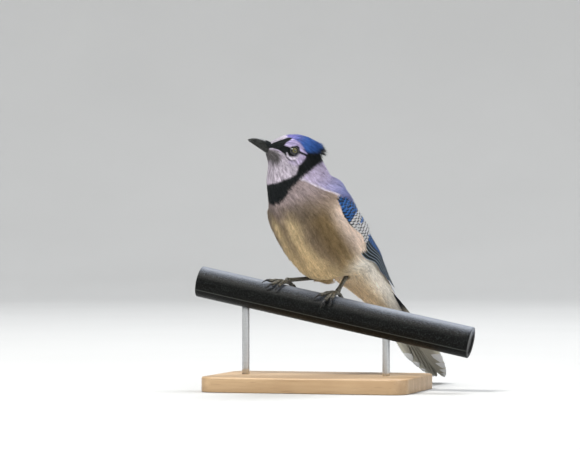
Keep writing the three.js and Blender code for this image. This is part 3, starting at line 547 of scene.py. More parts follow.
# UNDER_PAINTED_SHADE is painted shade: the underside is darker towards the root, where the upper feathers
# shade it
UNDER_PAINTED_SHADE, UNDER_SHADE_FROM, UNDER_EDGE_AT = (0.025, 0.030, 0.042), (52.0, 70.0), (-0.72, -0.86)
BAR_SLANT, BAR_UNEVEN, BAR_EDGE = 1.2, 2.6, (-0.05, 0.35)
THIN_BAR_EDGE, BARLESS_TIP = (0.35, 0.7), (2.2, 3.0)
INNER_EDGE, RIM_AT, RIM_SHARE, WHITE_UNEVEN, WHITE_EDGE = (-0.12, 0.12), (-0.86, -0.92), 0.9, 1.4, (0.9, 0.3)
SHAFT_AT, SHAFT_SHARE, UNDER_TURNS, BARB_SLANT, BARBS_PER_MM = (0.07, 0.02), 0.7, (-0.5, 0.3), 9.0, 3.0
BARB_CONTRAST, BARB_BUMP, VANE_NOISE = 0.07, 0.00006, 350.0


def vane_look(name, blue, pale, period):
    """Smooth vanes with bars, a white tip and a grey underside.

    The attribute feather holds the distance from the tip, the place across the vane and the face, which is
    1 above and 0 below. The attribute scheme holds the strength of the bars, the length of the white tip
    and the share of the vane that is blue, from its outer edge.
    """
    look = Look(name, Roughness=0.5, Specular_IOR_Level=0.14)
    from_tip, across, face = look.attribute("feather")
    bars, tip, share = look.attribute("scheme")
    wobble = look.noise(VANE_NOISE)
    slanted = from_tip - abs(across) * BAR_SLANT + wobble * BAR_UNEVEN
    wave = (slanted * (2 * math.pi / period)).maths("SINE")
    colour = look.blend(wave.ramp(*BAR_EDGE) * bars, look.blend(wobble, blue, pale), BLACK)
    colour = look.blend((across - share).ramp(*INNER_EDGE), colour, VANE_INK)
    rim = across.ramp(*RIM_AT) * (bars * -1.0 + 1.0)
    colour = look.blend(rim * RIM_SHARE, colour, VANE_RIM)
    white_tip = (from_tip + wobble * WHITE_UNEVEN - tip).ramp(*WHITE_EDGE)
    barred = wave.ramp(*THIN_BAR_EDGE) * bars * from_tip.ramp(*BARLESS_TIP)
    colour = look.blend(white_tip, colour, look.blend(barred, VANE_WHITE, BLACK))
    colour = look.blend(abs(across).ramp(*SHAFT_AT) * SHAFT_SHARE, colour, VANE_SHAFT)
    grey = look.blend(across.ramp(*UNDER_TURNS), UNDER_PALE, UNDER_GREY)
    grey = look.blend(across.ramp(*UNDER_EDGE_AT), grey, UNDER_EDGE)
    # painted shade towards the root
    grey = look.blend(from_tip.ramp(*UNDER_SHADE_FROM), grey, UNDER_PAINTED_SHADE)
    colour = look.blend(face, look.blend(white_tip, grey, UNDER_TIP), colour)
    barb = from_tip * BARBS_PER_MM - abs(across) * BARB_SLANT
    ripple = (barb * (2 * math.pi)).maths("SINE")
    shade = ripple * BARB_CONTRAST + (1.0 - BARB_CONTRAST)
    return look.finish(look.shaded(colour, shade), ripple, BARB_BUMP)


def mottled_look(name, dark, light, scale, bump, roughness, more):
    """A hard surface of two mingled colours with small bumps. more holds other values of the shader."""
    mingled = (0.35, 0.7)
    look = Look(name, Roughness=roughness, **more)
    spots = look.noise(scale)
    return look.finish(look.blend(spots.ramp(*mingled), dark, light), spots, bump)


def eye_look():
    """A dark brown iris round a black pupil, under a wet surface.

    The attribute iris goes from 0 at the pupil's middle to 1 at the edge of what shows of the eye.
    """
    pupil_edge, iris_edge, rays = (0.26, 0.34), (0.60, 0.74), 2500.0
    look = Look("eye_wet", Roughness=0.12, Specular_IOR_Level=0.35, Coat_Weight=0.35, Coat_Roughness=0.02)
    out = look.attribute("iris")[0]
    brown = look.blend(look.noise(rays), (0.045, 0.040, 0.012), (0.130, 0.118, 0.036))
    colour = look.blend(out.ramp(*pupil_edge), BLACK, brown)
    return look.finish(look.blend(out.ramp(*iris_edge), colour, BLACK))


def cable_look():
    """A black jacket: fine speckle, long scuffs, a thin raised seam and a painted sheen on its top, which
    stands for the light from above.

    The attribute wear holds the share of the seam and the share of the painted sheen on the top.
    """
    speckle_at, scuffs_at, sheen_at, sheen_share = (0.48, 0.72), (0.62, 0.85), (0.5, 1.25), 0.9
    look = Look("cable_jacket", Specular_IOR_Level=0.09)
    speckle = look.noise(1500.0, detail=3.0)
    scuffs = look.noise(60.0, stretch=(0.25, 6.0, 6.0))
    seam, top, _ = look.attribute("wear")
    # painted sheen: the top of the jacket is painted lighter and bluish, for the light that falls on it from
    # above
    painted_sheen = (speckle * 0.7 + top).ramp(*sheen_at) * sheen_share
    colour = look.blend(speckle.ramp(*speckle_at), (0.002, 0.002, 0.002), (0.022, 0.026, 0.024))
    colour = look.blend(scuffs.ramp(*scuffs_at), colour, (0.012, 0.013, 0.018))
    colour = look.blend(painted_sheen, colour, (0.21, 0.23, 0.27))
    colour = look.blend(seam, colour, (0.055, 0.060, 0.055))
    look.set("Roughness", speckle * 0.22 + 0.24)
    return look.finish(colour, speckle, 0.00025)


def wood_look():
    """Pale oiled wood with growth rings, fine grain and dark pores."""
    ring_share, pores_at = 0.35, (0.62, 0.75)
    look = Look("stand_wood", Roughness=0.5, Coat_Weight=0.15, Coat_Roughness=0.3)
    grain = look.noise(45.0, detail=8.0, stretch=(0.35, 5.0, 5.0))
    pores = look.noise(400.0, stretch=(0.1, 4.0, 4.0))
    inputs = {"Vector": look.spot(), "Scale": 22.0, "Distortion": 6.0, "Detail": 3.0}
    rings = Value(look, look.node("ShaderNodeTexWave", inputs, bands_direction="Y").outputs["Fac"])
    colour = look.blend(grain, (0.33, 0.20, 0.095), (0.56, 0.40, 0.235))
    colour = look.blend(rings * ring_share, colour, (0.30, 0.18, 0.09))
    colour = look.blend(pores.ramp(*pores_at), colour, (0.20, 0.115, 0.05))
    return look.finish(colour, pores, 0.00008)


def steel_look():
    look = Look("stand_steel", Metallic=1.0)
    lines = look.noise(260.0, stretch=(1.0, 1.0, 14.0))
    look.set("Roughness", lines * 0.2 + 0.24)
    return look.finish(look.blend(lines, (0.42, 0.43, 0.44), (0.66, 0.67, 0.68)))


plumage = plumage_look()
wing_vane = vane_look("wing_vane", (0.014, 0.100, 0.400), (0.060, 0.260, 0.720), 3.2)
tail_vane = vane_look("tail_vane", (0.016, 0.075, 0.310), (0.050, 0.180, 0.520), 4.2)
BILL_GLOSS = {"Specular_IOR_Level": 0.28}
HORN_AND_SKIN = [  # name, dark, light, spots to a metre, height of the bumps, roughness and more
    ("bill_horn", (0.006, 0.007, 0.006), (0.024, 0.026, 0.024), 500.0, 0.00005, 0.36, BILL_GLOSS),
    ("claw_horn", (0.008, 0.008, 0.009), (0.022, 0.021, 0.022), 900.0, 0.00004, 0.3, {}),
    ("leg_skin", (0.018, 0.017, 0.014), (0.170, 0.155, 0.120), 900.0, 0.00010, 0.4, {}),
    ("lid_skin", (0.010, 0.010, 0.011), (0.040, 0.038, 0.040), 1200.0, 0.00008, 0.45, {}),
]
bill_horn, claw_horn, leg_skin, lid_skin = (mottled_look(*row) for row in HORN_AND_SKIN)
eye_wet = eye_look()
cable_jacket = cable_look()
stand_wood = wood_look()
stand_steel = steel_look()


# Camera, lights and backdrop, in metres

CAMERA_TARGET = Vector((-0.0216, -0.0058, 0.132))
CAMERA_AZIMUTH = math.radians(15)
CAMERA_DISTANCE = 2.4
CAMERA_LENS = 186.2
LIGHTS_TARGET = Vector((0.0, 0.0, 0.12))
LIGHTS = [  # name, azimuth, elevation, distance, size, power, colour
    ("key", -28, 55, 3.4, 1.1, 135.0, (1.0, 0.98, 0.94)),
    ("fill", 65, 24, 3.6, 2.2, 45.0, (0.93, 0.96, 1.0)),
    ("rim", 172, 60, 3.4, 1.4, 85.0, (0.93, 0.96, 1.0)),
]
SKY_COLOUR, SKY_STRENGTH = (0.92, 0.94, 0.97, 1.0), 0.95
FLOOR_DROP, FLOOR_ROWS, WALL_BEND, WALL_TOP = 0.0002, [0.0, 0.6, 1.5, 2.4, 3.0], 1.5, 5.0

camera = bpy.data.objects.new("camera", bpy.data.cameras.new("camera"))
camera.data.sensor_width = 36.0
camera.data.lens = CAMERA_LENS
camera.data.clip_start, camera.data.clip_end = 0.05, 50.0
towards = Vector((math.sin(CAMERA_AZIMUTH), -math.cos(CAMERA_AZIMUTH), 0.0))
camera.location = CAMERA_TARGET + towards * CAMERA_DISTANCE
camera.rotation_euler = (-towards).to_track_quat("-Z", "Y").to_euler()
bpy.context.scene.collection.objects.link(camera)
bpy.context.scene.camera = camera

for name, azimuth, elevation, distance, size, power, colour in LIGHTS:
    light = bpy.data.lights.new(name, "AREA")
    light.shape = "DISK"
    light.size = size
    light.energy = power
    light.color = colour
    a, e = math.radians(azimuth), math.radians(elevation)
    back = Vector((math.sin(a) * math.cos(e), -math.cos(a) * math.cos(e), math.sin(e)))
    lamp = bpy.data.objects.new(name, light)
    lamp.location = LIGHTS_TARGET + back * distance
    lamp.rotation_euler = (-back).to_track_quat("-Z", "Y").to_euler()
    bpy.context.scene.collection.objects.link(lamp)

world = bpy.data.worlds.new("world")
world.use_nodes = True
world.node_tree.nodes["Background"].inputs["Color"].default_value = SKY_COLOUR
world.node_tree.nodes["Background"].inputs["Strength"].default_value = SKY_STRENGTH
bpy.context.scene.world = world
bpy.context.scene.view_settings.view_transform = "Standard"


def add_backdrop():
    """A pale floor that sweeps up into a round wall a long way behind the object."""
    columns, wall_from = 72, FLOOR_ROWS[-1]
    bend = np.linspace(0.2, math.pi / 2, 9)
    profile = [(r, 0.0) for r in FLOOR_ROWS]
    profile += [(wall_from + WALL_BEND * math.sin(a), WALL_BEND - WALL_BEND * math.cos(a)) for a in bend]
    profile.append((wall_from + WALL_BEND, WALL_TOP))
    turn = round_turn(columns)
    rings = [[(r * math.cos(a), r * math.sin(a), z - FLOOR_DROP) for a in turn] for r, z in profile]
    mesh = bpy.data.meshes.new("backdrop")
    faces = grid_faces(len(profile), columns, closed=True)
    mesh.from_pydata(np.array(rings).reshape(-1, 3).tolist(), [], faces.tolist())
    mesh.polygons.foreach_set("use_smooth", [True] * len(mesh.polygons))
    look = Look("backdrop", Roughness=0.9, Specular_IOR_Level=0.1)
    mesh.materials.append(look.finish(look.blend(look.noise(3.0), (0.46, 0.46, 0.455), (0.50, 0.50, 0.495))))
    backdrop = bpy.data.objects.new("backdrop", mesh)
    bpy.context.scene.collection.objects.link(backdrop)


add_backdrop()


# Skin: one closed form under the whole coat

# SKIN_SHADE darkens the markings on the skin as painted shade, since the skin shows only deep in the coat
SKIN_ROWS, SKIN_COLUMNS, SKIN_SHADE = 171, 120, 0.55
SKIN_FLANK_STATIONS, SKIN_FLANK_SHARE = (7.8, 8.8), 0.5


def coat(table, t):
    return np.interp(t, COAT_STATIONS, table)


def add_skin():
    stations = np.linspace(0.0, LAST_STATION, SKIN_ROWS)
    angles = np.linspace(-180, 180, SKIN_COLUMNS, endpoint=False)
    t, angle = np.meshgrid(stations, angles, indexing="ij")
    fluff = flank_lift(t, angle) * ramp(t, *SKIN_FLANK_STATIONS) * SKIN_FLANK_SHARE
    points, faces = rings_mesh(chart(t, angle, fluff - coat(DEPTH, t)))
    # the markings darkened as painted shade
    paint = markings(t, angle) * SKIN_SHADE
    paint = np.concatenate([paint.reshape(-1, 3), paint[0, :1], paint[-1, :1]])
    bake = np.concatenate([chart_bake(t, angle).reshape(-1, 2), [(0.0, 0.5)], [(1.0, 0.5)]])
    covered = ("head", "neck", "torso", "rump", "thigh_left", "thigh_right")
    add_piece("skin", points, faces, plumage, "body_feather", covered, painted(paint), bake)


# Small feathers: each a fan of tapered strips that lies along the body

STRIP_POINTS = [2, 2, 2, 1]  # at each step along a strip
STRIP_K = np.repeat([0.0, 0.38, 0.72, 1.0], STRIP_POINTS)
STRIP_EDGE = np.array([-0.75, 0.75, -1.0, 1.0, -0.72, 0.72, 0.0])
FAN_ROUND, FAN_OPEN, FAN_ARCH, FAN_REACH = 0.28, 0.5, 0.10, (0.84, 1.08)
STRIP_WIDE, STRIP_WANDER, STRIP_LOOSE, LIFT_LOST = 0.55, 0.10, 0.06, 0.55
FACING_SPREAD, FACING_VARIES = 0.38, 0.13
STREAK_CELLS, STREAK_VARIES = (1.7, 140), (0.6, 1.2)
CLUMP_CELLS, CLUMPS = (0.9, 17), 0.11  # how much lighter and darker clumps of feathers are
# TIP_SHADE and the root's shade paint each strip darker at its root and lighter at its tip: painted shade
# between the feathers
STRIP_SHADES, FAN_SHADES, TIP_SHADE = (0.76, 1.17), (0.90, 1.10), 1.08
BAKE_SPREAD = (0.003, 0.0014)
# The least distance as a share of the spacing, and the quantile of the weights from which all are kept
THINNED, BUSIEST = 0.8, 0.98


def scatter(first, last, spacing, wanted, draws):
    """Places over the skin, evenly spread at the distances that spacing gives, as stations and angles."""
    t = rng.uniform(first, last, draws)
    angle = rng.uniform(-180, 180, draws)
    per_station, per_degree, _ = scales_of(chart, t, angle)
    weight = per_station * per_degree / spacing(t) ** 2
    keep = (rng.uniform(0, np.quantile(weight, BUSIEST), draws) < weight) & wanted(t, angle)
    t, angle = t[keep], angle[keep]
    points = chart(t, angle)
    tree = KDTree(len(t))
    for i, point in enumerate(points):
        tree.insert(point, i)
    tree.balance()
    apart = spacing(t) * THINNED
    alive = np.ones(len(t), bool)
    for i, point in enumerate(points):
        if alive[i]:
            for _, other, _ in tree.find_range(point, apart[i]):
                if other > i:
                    alive[other] = False
    return t[alive], angle[alive]


def strip_colours(t, angle, paint, ragged, streak, root):
    """Colours of strips at their points. At ragged 1 a whole strip takes the colour of its tip's place."""
    count, strips = t.shape[:2]
    end_t, end_angle = t[:, :, 4:5], angle[:, :, 4:5]
    colour = paint(mix(t[:, :, ::2], end_t, ragged), mix(angle[:, :, ::2], end_angle, ragged))
    colour = np.repeat(colour, STRIP_POINTS, axis=2)
    varies = rng.uniform(*STREAK_VARIES, (count, strips, 1))
    shade = 1 + streak * streaks(end_t, end_angle, *STREAK_CELLS) * varies
    shade = shade * (1 + CLUMPS * streaks(end_t, end_angle, *CLUMP_CELLS))
    shade = shade * rng.uniform(*STRIP_SHADES, (count, strips, 1)) * rng.uniform(*FAN_SHADES, (count, 1, 1))
    # painted shade: darker at the roots, deep between the feathers, and lighter at the tips
    return colour * (shade * mix(root, TIP_SHADE, STRIP_K))[..., None]


def fans(
    t,
    angle,
    shape,
    strips,
    bend=0.75,
    yaw=0.10,
    lift=flank_lift,
    sheet=chart,
    paint=markings,
    ragged=1.0,
    streak=0.16,
    root=0.55,
):
    """Points, faces, colours, bake places and normals of many small feathers.

    shape holds their lengths, widths and the heights of their roots and tips over the sheet they lie on.
    bend is the power of the rise from root to tip, and root the painted shade at the root, which stands for
    the shade between the feathers.
    """
    length, width, low, high = (values[:, None, None] for values in shape)
    count, k = len(t), STRIP_K
    first_t, first_angle = t[:, None, None], angle[:, None, None]
    per_station, per_degree, out = scales_of(sheet, t, angle)
    share = np.linspace(-1, 1, strips)
    reach = length[:, 0] * (1 - FAN_ROUND * share**2) * rng.uniform(*FAN_REACH, (count, strips))
    turn = rng.normal(0, yaw, count)[:, None, None]
    wander = rng.normal(0, STRIP_WANDER, (count, strips))[:, :, None] * k
    spread = FAN_OPEN * share[:, None] * (1 - (1 - k) ** 2)
    x = reach[:, :, None] * k
    y = width * (spread + STRIP_WIDE * STRIP_EDGE / strips + 0.5 * wander)
    x, y = x * np.cos(turn) - y * np.sin(turn), x * np.sin(turn) + y * np.cos(turn)
    rise = mix(low, high, k**bend) - FAN_ARCH * width * (share[:, None] ** 2) * k
    rise = rise + rng.normal(0, STRIP_LOOSE, (count, strips))[:, :, None] * coat(DEPTH, first_t) * k
    at_t = first_t + x / per_station[:, None, None]
    at_angle = first_angle + y / np.maximum(per_degree, 0.05)[:, None, None]
    level = np.maximum(lift(at_t, at_angle), lift(t, angle)[:, None, None] * (1 - LIFT_LOST * k))
    points = sheet(at_t, at_angle, level + rise)
    start = np.arange(count * strips)[:, None] * len(k)
    quads = np.concatenate([start + np.array([0, 1, 3, 2]), start + np.array([2, 3, 5, 4])])
    tips = start + np.array([4, 5, 6])
    colour = strip_colours(at_t, at_angle, paint, ragged, streak, root)
    along_bake, across_bake = BAKE_SPREAD
    inner = np.stack(np.broadcast_arrays((k - 0.5) * along_bake, share[:, None] * across_bake), axis=-1)
    bake = chart_bake(first_t, first_angle) + inner
    aside = unit(sheet(t, angle + 1.0, 0.0) - sheet(t, angle, 0.0))
    facing = out[:, None, :] + FACING_SPREAD * share[None, :, None] * aside[:, None, :]
    facing = unit(facing + rng.normal(0, FACING_VARIES, (count, strips, 3)))
    normals = np.broadcast_to(facing[:, :, None, :], points.shape)
    return (
        points.reshape(-1, 3),
        [quads, tips],
        colour.reshape(-1, 3),
        bake.reshape(-1, 2),
        normals.reshape(-1, 3),
    )


def add_coat(name, slot, fan):
    points, faces, paint, bake, normals = fan
    add_piece(name, points, faces, plumage, slot, (), painted(paint), bake, normals)


def one_paint(colour):
    """A paint that is the same everywhere."""
    return lambda t, angle: np.broadcast_to(colour, np.shape(t) + (3,))


def wanted_plumage(t, angle):
    """True away from the eyes and from where the folded wing hides the body."""
    spot = chart(t, angle)
    eyes = [chart(np.array(EYE_STATION), np.array(side * EYE_ANGLE)) for side in (1, -1)]
    near = np.minimum(*(np.linalg.norm(spot - eye, axis=-1) for eye in eyes))
    aside = aside_of(angle)
    first, last = UNDER_WING
    inner = mix(*UNDER_WING_BACK, (t - first) / UNDER_WING_RUN)
    outer = np.interp(t, *FLANK_EDGE) - UNDER_WING_MARGIN
    hidden = (t > first) & (t < last) & (aside > inner) & (aside < outer)
    return (near > EYE_SHOWS + EYE_BARE) & ~hidden


# root in a style is the painted shade at the feathers' roots
HEAD_STYLE = {"lift": either_lift, "ragged": 0.35, "streak": 0.48}
NECK_STYLE = {"lift": either_lift, "streak": 0.20}
BREAST_STYLE = {"streak": 0.20}
VENT_STYLE = {"streak": 0.10, "root": 0.8}
ZONES = [  # name, slot, stations, draws, strips in a feather, how fluffed and style
    ("plumage_face", "head_feather", (0.0, 2.6), 60000, 9, 0.12, HEAD_STYLE),
    ("plumage_head", "head_feather", (2.6, 4.6), 40000, 9, 0.12, HEAD_STYLE),
    ("plumage_neck", "body_feather", (4.6, 6.7), 40000, 11, 0.12, NECK_STYLE),
    ("plumage_breast", "body_feather", (6.7, 9.2), 60000, 11, 0.24, BREAST_STYLE),
    ("plumage_belly", "body_feather", (9.2, 12.0), 60000, 11, 0.24, BREAST_STYLE),
    ("plumage_vent", "covert_feather", (12.0, 16.2), 50000, 11, 0.24, VENT_STYLE),
]
SCAPULAR_STATIONS, SCAPULAR_INNER, SCAPULAR_FLUFF, SCAPULAR_DEPTH = (6.3, 8.5), 7, 0.2, 1.4
LENGTHS_VARY, FLUFF_VARIES = (0.85, 1.15), (-0.8, 1.6)


def coat_spacing(t):
    return coat(SPACING, t)


def lie(t, fluff):
    """Length, width, and the heights of root and tip over the coat, of feathers at stations."""
    length = coat(LENGTH, t) * rng.uniform(*LENGTHS_VARY, len(t))
    width, depth = length * np.interp(t, *SLIMNESS), coat(DEPTH, t)
    return length, width, -depth, fluff * depth * rng.uniform(*FLUFF_VARIES, len(t))


def add_plumage():
    for name, slot, stations, draws, strips, fluff, style in ZONES:
        t, angle = scatter(*stations, coat_spacing, wanted_plumage, draws)
        add_coat(name, slot, fans(t, angle, lie(t, fluff), strips, **style))


def add_scapulars():
    """The shoulders' feathers, over the front and the inner part of the folded wings."""

    def wanted(t, angle):
        aside = aside_of(angle)
        return (aside > SCAPULAR_INNER) & (aside < np.interp(t, *SHOULDER_EDGE))

    t, angle = scatter(*SCAPULAR_STATIONS, coat_spacing, wanted, 30000)
    length, width, _, high = lie(t, SCAPULAR_FLUFF)
    shape = (length, width, high - SCAPULAR_DEPTH, high)
    add_coat("scapulars", "body_feather", fans(t, angle, shape, 11, lift=either_lift))


# Crest: long feathers of the crown that rise towards the nape. Their tips' stations and rises go by
# the stations of their roots.

CREST_ROOTS = [2.5, 3.35, 3.9, 4.3]
CREST_TIPS = [3.8, 4.5, 4.95, 5.35]
CREST_RISES = [0.5, 2.8, 8.0, 7.6]
CREST_STATIONS, CREST_SPACING, CREST_ASIDE, CREST_BLACK = (2.6, 4.3), 1.35, 56, (4.4, 4.6)
CREST_SLIMNESS, CREST_SUNK, CREST_FALL = 0.24, -0.6, 1.35  # the rise falls off with the angle


def crest_paint(t, angle):
    return over(markings(t, angle), BLACK, ramp(t, *CREST_BLACK))


def add_crest():
    def spacing(t):
        return np.full(len(t), CREST_SPACING)

    def wanted(t, angle):
        return aside_of(angle) < CREST_ASIDE

    t, angle = scatter(*CREST_STATIONS, spacing, wanted, 16000)
    per_station, _, _ = scales_of(chart, t, angle)
    length = (np.interp(t, CREST_ROOTS, CREST_TIPS) - t) * per_station * rng.uniform(0.85, 1.05, len(t))
    high = np.interp(t, CREST_ROOTS, CREST_RISES) * np.cos(np.radians(aside_of(angle) * CREST_FALL))
    high = high * rng.uniform(0.75, 1.05, len(t))
    shape = (length, CREST_SLIMNESS * length, np.full(len(t), CREST_SUNK), high)
    fan = fans(t, angle, shape, 5, bend=1.25, yaw=0.09, paint=crest_paint, ragged=0.15)
    add_coat("crest", "head_feather", fan)


# Wings and tail: vanes with a shaft, each a closed form with its own face above and below

# An outline holds places from root to tip and the shares of the width there
FLIGHT_OUTLINE = (
    [0.0, 0.06, 0.25, 0.6, 0.85, 0.94, 0.985, 1.0],
    [0.25, 0.5, 0.78, 1.0, 0.93, 0.74, 0.4, 0.12],
)
COVERT_OUTLINE = ([0.0, 0.3, 0.65, 0.85, 0.95, 1.0], [0.5, 0.85, 1.0, 0.86, 0.56, 0.2])
VANE_THICK, VANE_THINS, VANE_RIDGE, VANE_RAGGED, VANE_EASE = 0.14, 0.7, 0.28, 0.03, 1.5
BAKE_MARGIN = 0.04

WING_CORE_STATIONS, WING_CORE_ANGLES, WING_CORE_GRID = (6.8, 10.0), (15.0, 90.0), (24, 17)
WING_CORE_THICK, WING_CORE_UNDER, WING_CORE_RISE, WING_CORE_SUNK = 2.8, 0.42, (6.64, 7.28), 0.15
WING_CORE_FEATHER, WING_CORE_SCHEME, WING_CORE_BAKE = (9.0, -0.5, 1.0), (1.0, 0.0, -1.3), 0.995
FLIGHT_ROOT, FLIGHT_END = (9.3, 96.0, -8.3), (14.5, 71.0, -10.1)  # station, angle of the outermost and step
FLIGHT_TIPS = [13.2, 14.1, 14.5, 14.2, 12.6, 12.5, 12.4, 12.1, 11.4]
FLIGHT_COUNT, FLIGHT_LIFT, FLIGHT_WIDTH, FLIGHT_LAYER = 13, (1.5, 1.9), (6.4, 8.4), 0.42
# A scheme holds the bars' strength, the white tip's length and the blue share
PRIMARY, SECONDARY, TERTIAL = (0.0, 0.7, -0.86), (1.0, 2.6, -0.1), (1.0, 3.0, 1.3)
FLIGHT_SCHEMES = [PRIMARY] * 5 + [SECONDARY] * 5 + [TERTIAL] * 3
COVERT_ROWS = [  # count, stations, angles from outermost to innermost, width, rise at the tip, bars, white
    (11, (8.35, 10.35), (80, 30), 5.6, 0.75, 1.0, 18.0),
    (10, (7.7, 9.3), (82, 30), 5.4, 0.95, 1.0, 10.0),
    (10, (7.35, 8.55), (82, 28), 5.0, 1.05, 1.0, 0.0),
    (10, (7.1, 8.0), (80, 26), 4.6, 0.95, 0.9, 0.0),
    (9, (6.9, 7.5), (76, 26), 4.2, 0.75, 0.8, 0.0),
    (4, (7.3, 9.9), (30, 16), 6.0, 0.9, 0.6, 0.0),
    (4, (6.9, 8.6), (28, 14), 5.6, 1.0, 0.0, 0.0),
]
COVERT_ROOT_RISE, COVERT_SWEEP, COVERT_LAYER, COVERT_INNER_WHITE = -0.9, -1.5, 0.4, 0.45
COVERT_BLUE, WHITE_COVERT_BLUE = 1.3, 0.55  # the share of the vane that is blue


class Vanes:
    """Vanes gathered into one mesh, each with a cell of its own on the map for baking."""

    def __init__(self, cells):
        self.parts, self.feather, self.scheme, self.bake, self.cells = [], [], [], [], cells

    def add(self, at, length, width, outline, scheme, rows, columns, flip):
        k = 1 - (1 - np.linspace(0, 1, rows)) ** VANE_EASE
        share = np.linspace(-1, 1, columns + 1)
        share = np.concatenate([share, share[::-1]])
        face = np.repeat([1.0, 0.0], columns + 1)
        ragged = 1 + VANE_RAGGED * np.sin(k * 97 + width * 31)
        across = 0.5 * width * (np.interp(k, *outline) * ragged)[:, None] * share
        body = VANE_THICK * (1 - VANE_THINS * share**2) * (face - 0.5)
        high = body + VANE_RIDGE * (1 - np.abs(share)) ** 1.5
        k2 = np.broadcast_to(k[:, None], across.shape)
        points, faces = rings_mesh(at(k2, across, np.broadcast_to(high, across.shape)))
        grid = np.stack(np.broadcast_arrays(length * (1 - k2), -share, face), axis=-1).reshape(-1, 3)
        feather = np.concatenate([grid, [(length, 0.0, 0.5), (0.0, 0.0, 0.5)]])
        cell = np.array([len(self.parts) % self.cells, len(self.parts) // self.cells])
        wide = np.linspace(BAKE_MARGIN, 1 - BAKE_MARGIN, len(share))
        spot = np.stack(np.broadcast_arrays(wide, BAKE_MARGIN + (1 - 2 * BAKE_MARGIN) * k2), axis=-1)
        spot = np.concatenate([spot.reshape(-1, 2), [(0.5, 0.03), (0.5, 0.97)]])
        self.put(points, faces, feather, scheme, (cell + spot) / self.cells, flip)

    def put(self, points, faces, feather, scheme, bake, flip):
        self.parts.append((points, [f[:, ::-1] for f in faces] if flip else faces))
        self.feather.append(np.broadcast_to(feather, (len(points), 3)))
        self.scheme.append(np.broadcast_to(scheme, (len(points), 3)))
        self.bake.append(np.broadcast_to(bake, (len(points), 2)))

    def finish(self, name, look, slot, node):
        points, faces = joined(self.parts)
        attributes = {"feather": np.concatenate(self.feather), "scheme": np.concatenate(self.scheme)}
        add_piece(name, points, faces, look, slot, [node], attributes, np.concatenate(self.bake))


def wing_core_top(t):
    return mix(WING_CORE_UNDER, WING_CORE_THICK, ramp(t, *WING_CORE_RISE))


def round_at(t):
    """Millimetres per degree round the body at a station, on average."""
    row = along(np.asarray(t, float))
    deep = np.linalg.norm(row[..., 0:2] - row[..., 2:4], axis=-1) / 2
    return np.radians((deep + row[..., 4]) / 2)


def lay_vane(vanes, side, start, end, rise, layer, step, *shape, sweep=0.0):
    """A vane that lies along the body from one station and angle to another, over its neighbour.

    rise gives its height over the skin, layer is how much higher it lies than its neighbour, and step
    gives the angle between the two. shape is its width, outline, scheme, rows and columns. sweep turns
    its tip aside by an angle that its length leaves out.
    """

    def at(k, across, high):
        t = mix(start[0], end[0], k)
        per_degree = round_at(t)
        tilt = layer / (step(t) * per_degree)
        angle = mix(start[1], end[1] + sweep, k) + across / per_degree
        return chart(t, side * angle, rise(t, k) + high + tilt * across)

    length = np.linalg.norm(chart(end[0], side * end[1]) - chart(start[0], side * start[1]))
    vanes.add(at, length, *shape, flip=side < 0)


def lay_flight_feathers(vanes, side):
    last = len(FLIGHT_TIPS) - 1

    def share_along(t):
        return (t - FLIGHT_ROOT[0]) / (FLIGHT_END[0] - FLIGHT_ROOT[0])

    def step(t):
        return -mix(FLIGHT_ROOT[2], FLIGHT_END[2], share_along(t)) * last / (FLIGHT_COUNT - 1)

    def rise(t, k):
        return mix(*FLIGHT_LIFT, k)

    for i, scheme in enumerate(FLIGHT_SCHEMES):
        j = i * last / (FLIGHT_COUNT - 1)
        tip = np.interp(j, range(last + 1), FLIGHT_TIPS) + rng.uniform(-0.05, 0.05)
        root_angle = FLIGHT_ROOT[1] + j * FLIGHT_ROOT[2]
        tip_angle = mix(root_angle, FLIGHT_END[1] + j * FLIGHT_END[2], share_along(tip))
        ends = (FLIGHT_ROOT[0], root_angle), (tip, tip_angle)
        width = mix(*FLIGHT_WIDTH, j / last)
        lay_vane(vanes, side, *ends, rise, FLIGHT_LAYER, step, width, FLIGHT_OUTLINE, scheme, 40, 8)


def lay_coverts(vanes, side):
    for count, stations, angles, width, proud, bars, white in COVERT_ROWS:
        gap = (angles[0] - angles[1]) / (count - 1)
        blue = WHITE_COVERT_BLUE if white else COVERT_BLUE

        def rise(t, k):
            return wing_core_top(t) + mix(COVERT_ROOT_RISE, proud, k)

        def step(t):
            return gap

        for i in range(count):
            angle = angles[0] - i * gap + rng.uniform(-0.8, 0.8)
            tip = stations[1] + rng.uniform(-0.06, 0.06)
            ends = (stations[0], angle), (tip, angle)
            scheme = (bars, white * mix(1.0, COVERT_INNER_WHITE, i / (count - 1)), blue)
            shape = (width, COVERT_OUTLINE, scheme, 18, 6)
            lay_vane(vanes, side, *ends, rise, COVERT_LAYER, step, *shape, sweep=COVERT_SWEEP)


def lay_wing_core(vanes, side):
    """The solid part of the folded wing, under its coverts."""
    rows, columns = WING_CORE_GRID
    stations, angles = np.linspace(*WING_CORE_STATIONS, rows), np.linspace(*WING_CORE_ANGLES, columns)
    t, angle = np.meshgrid(stations, angles, indexing="ij")
    top = chart(t, side * angle, wing_core_top(t) - WING_CORE_SUNK)
    bottom = chart(t, side * angle, 0.0)
    points, faces = rings_mesh(np.concatenate([top, bottom[:, ::-1]], axis=1))
    vanes.put(points, faces, WING_CORE_FEATHER, WING_CORE_SCHEME, WING_CORE_BAKE, side < 0)


def add_wing(side, name):
    vanes = Vanes(10)
    lay_flight_feathers(vanes, side)
    lay_coverts(vanes, side)
    lay_wing_core(vanes, side)
    vanes.finish(f"plumes_{name}", wing_vane, "wing_feather", f"wing_{name}")


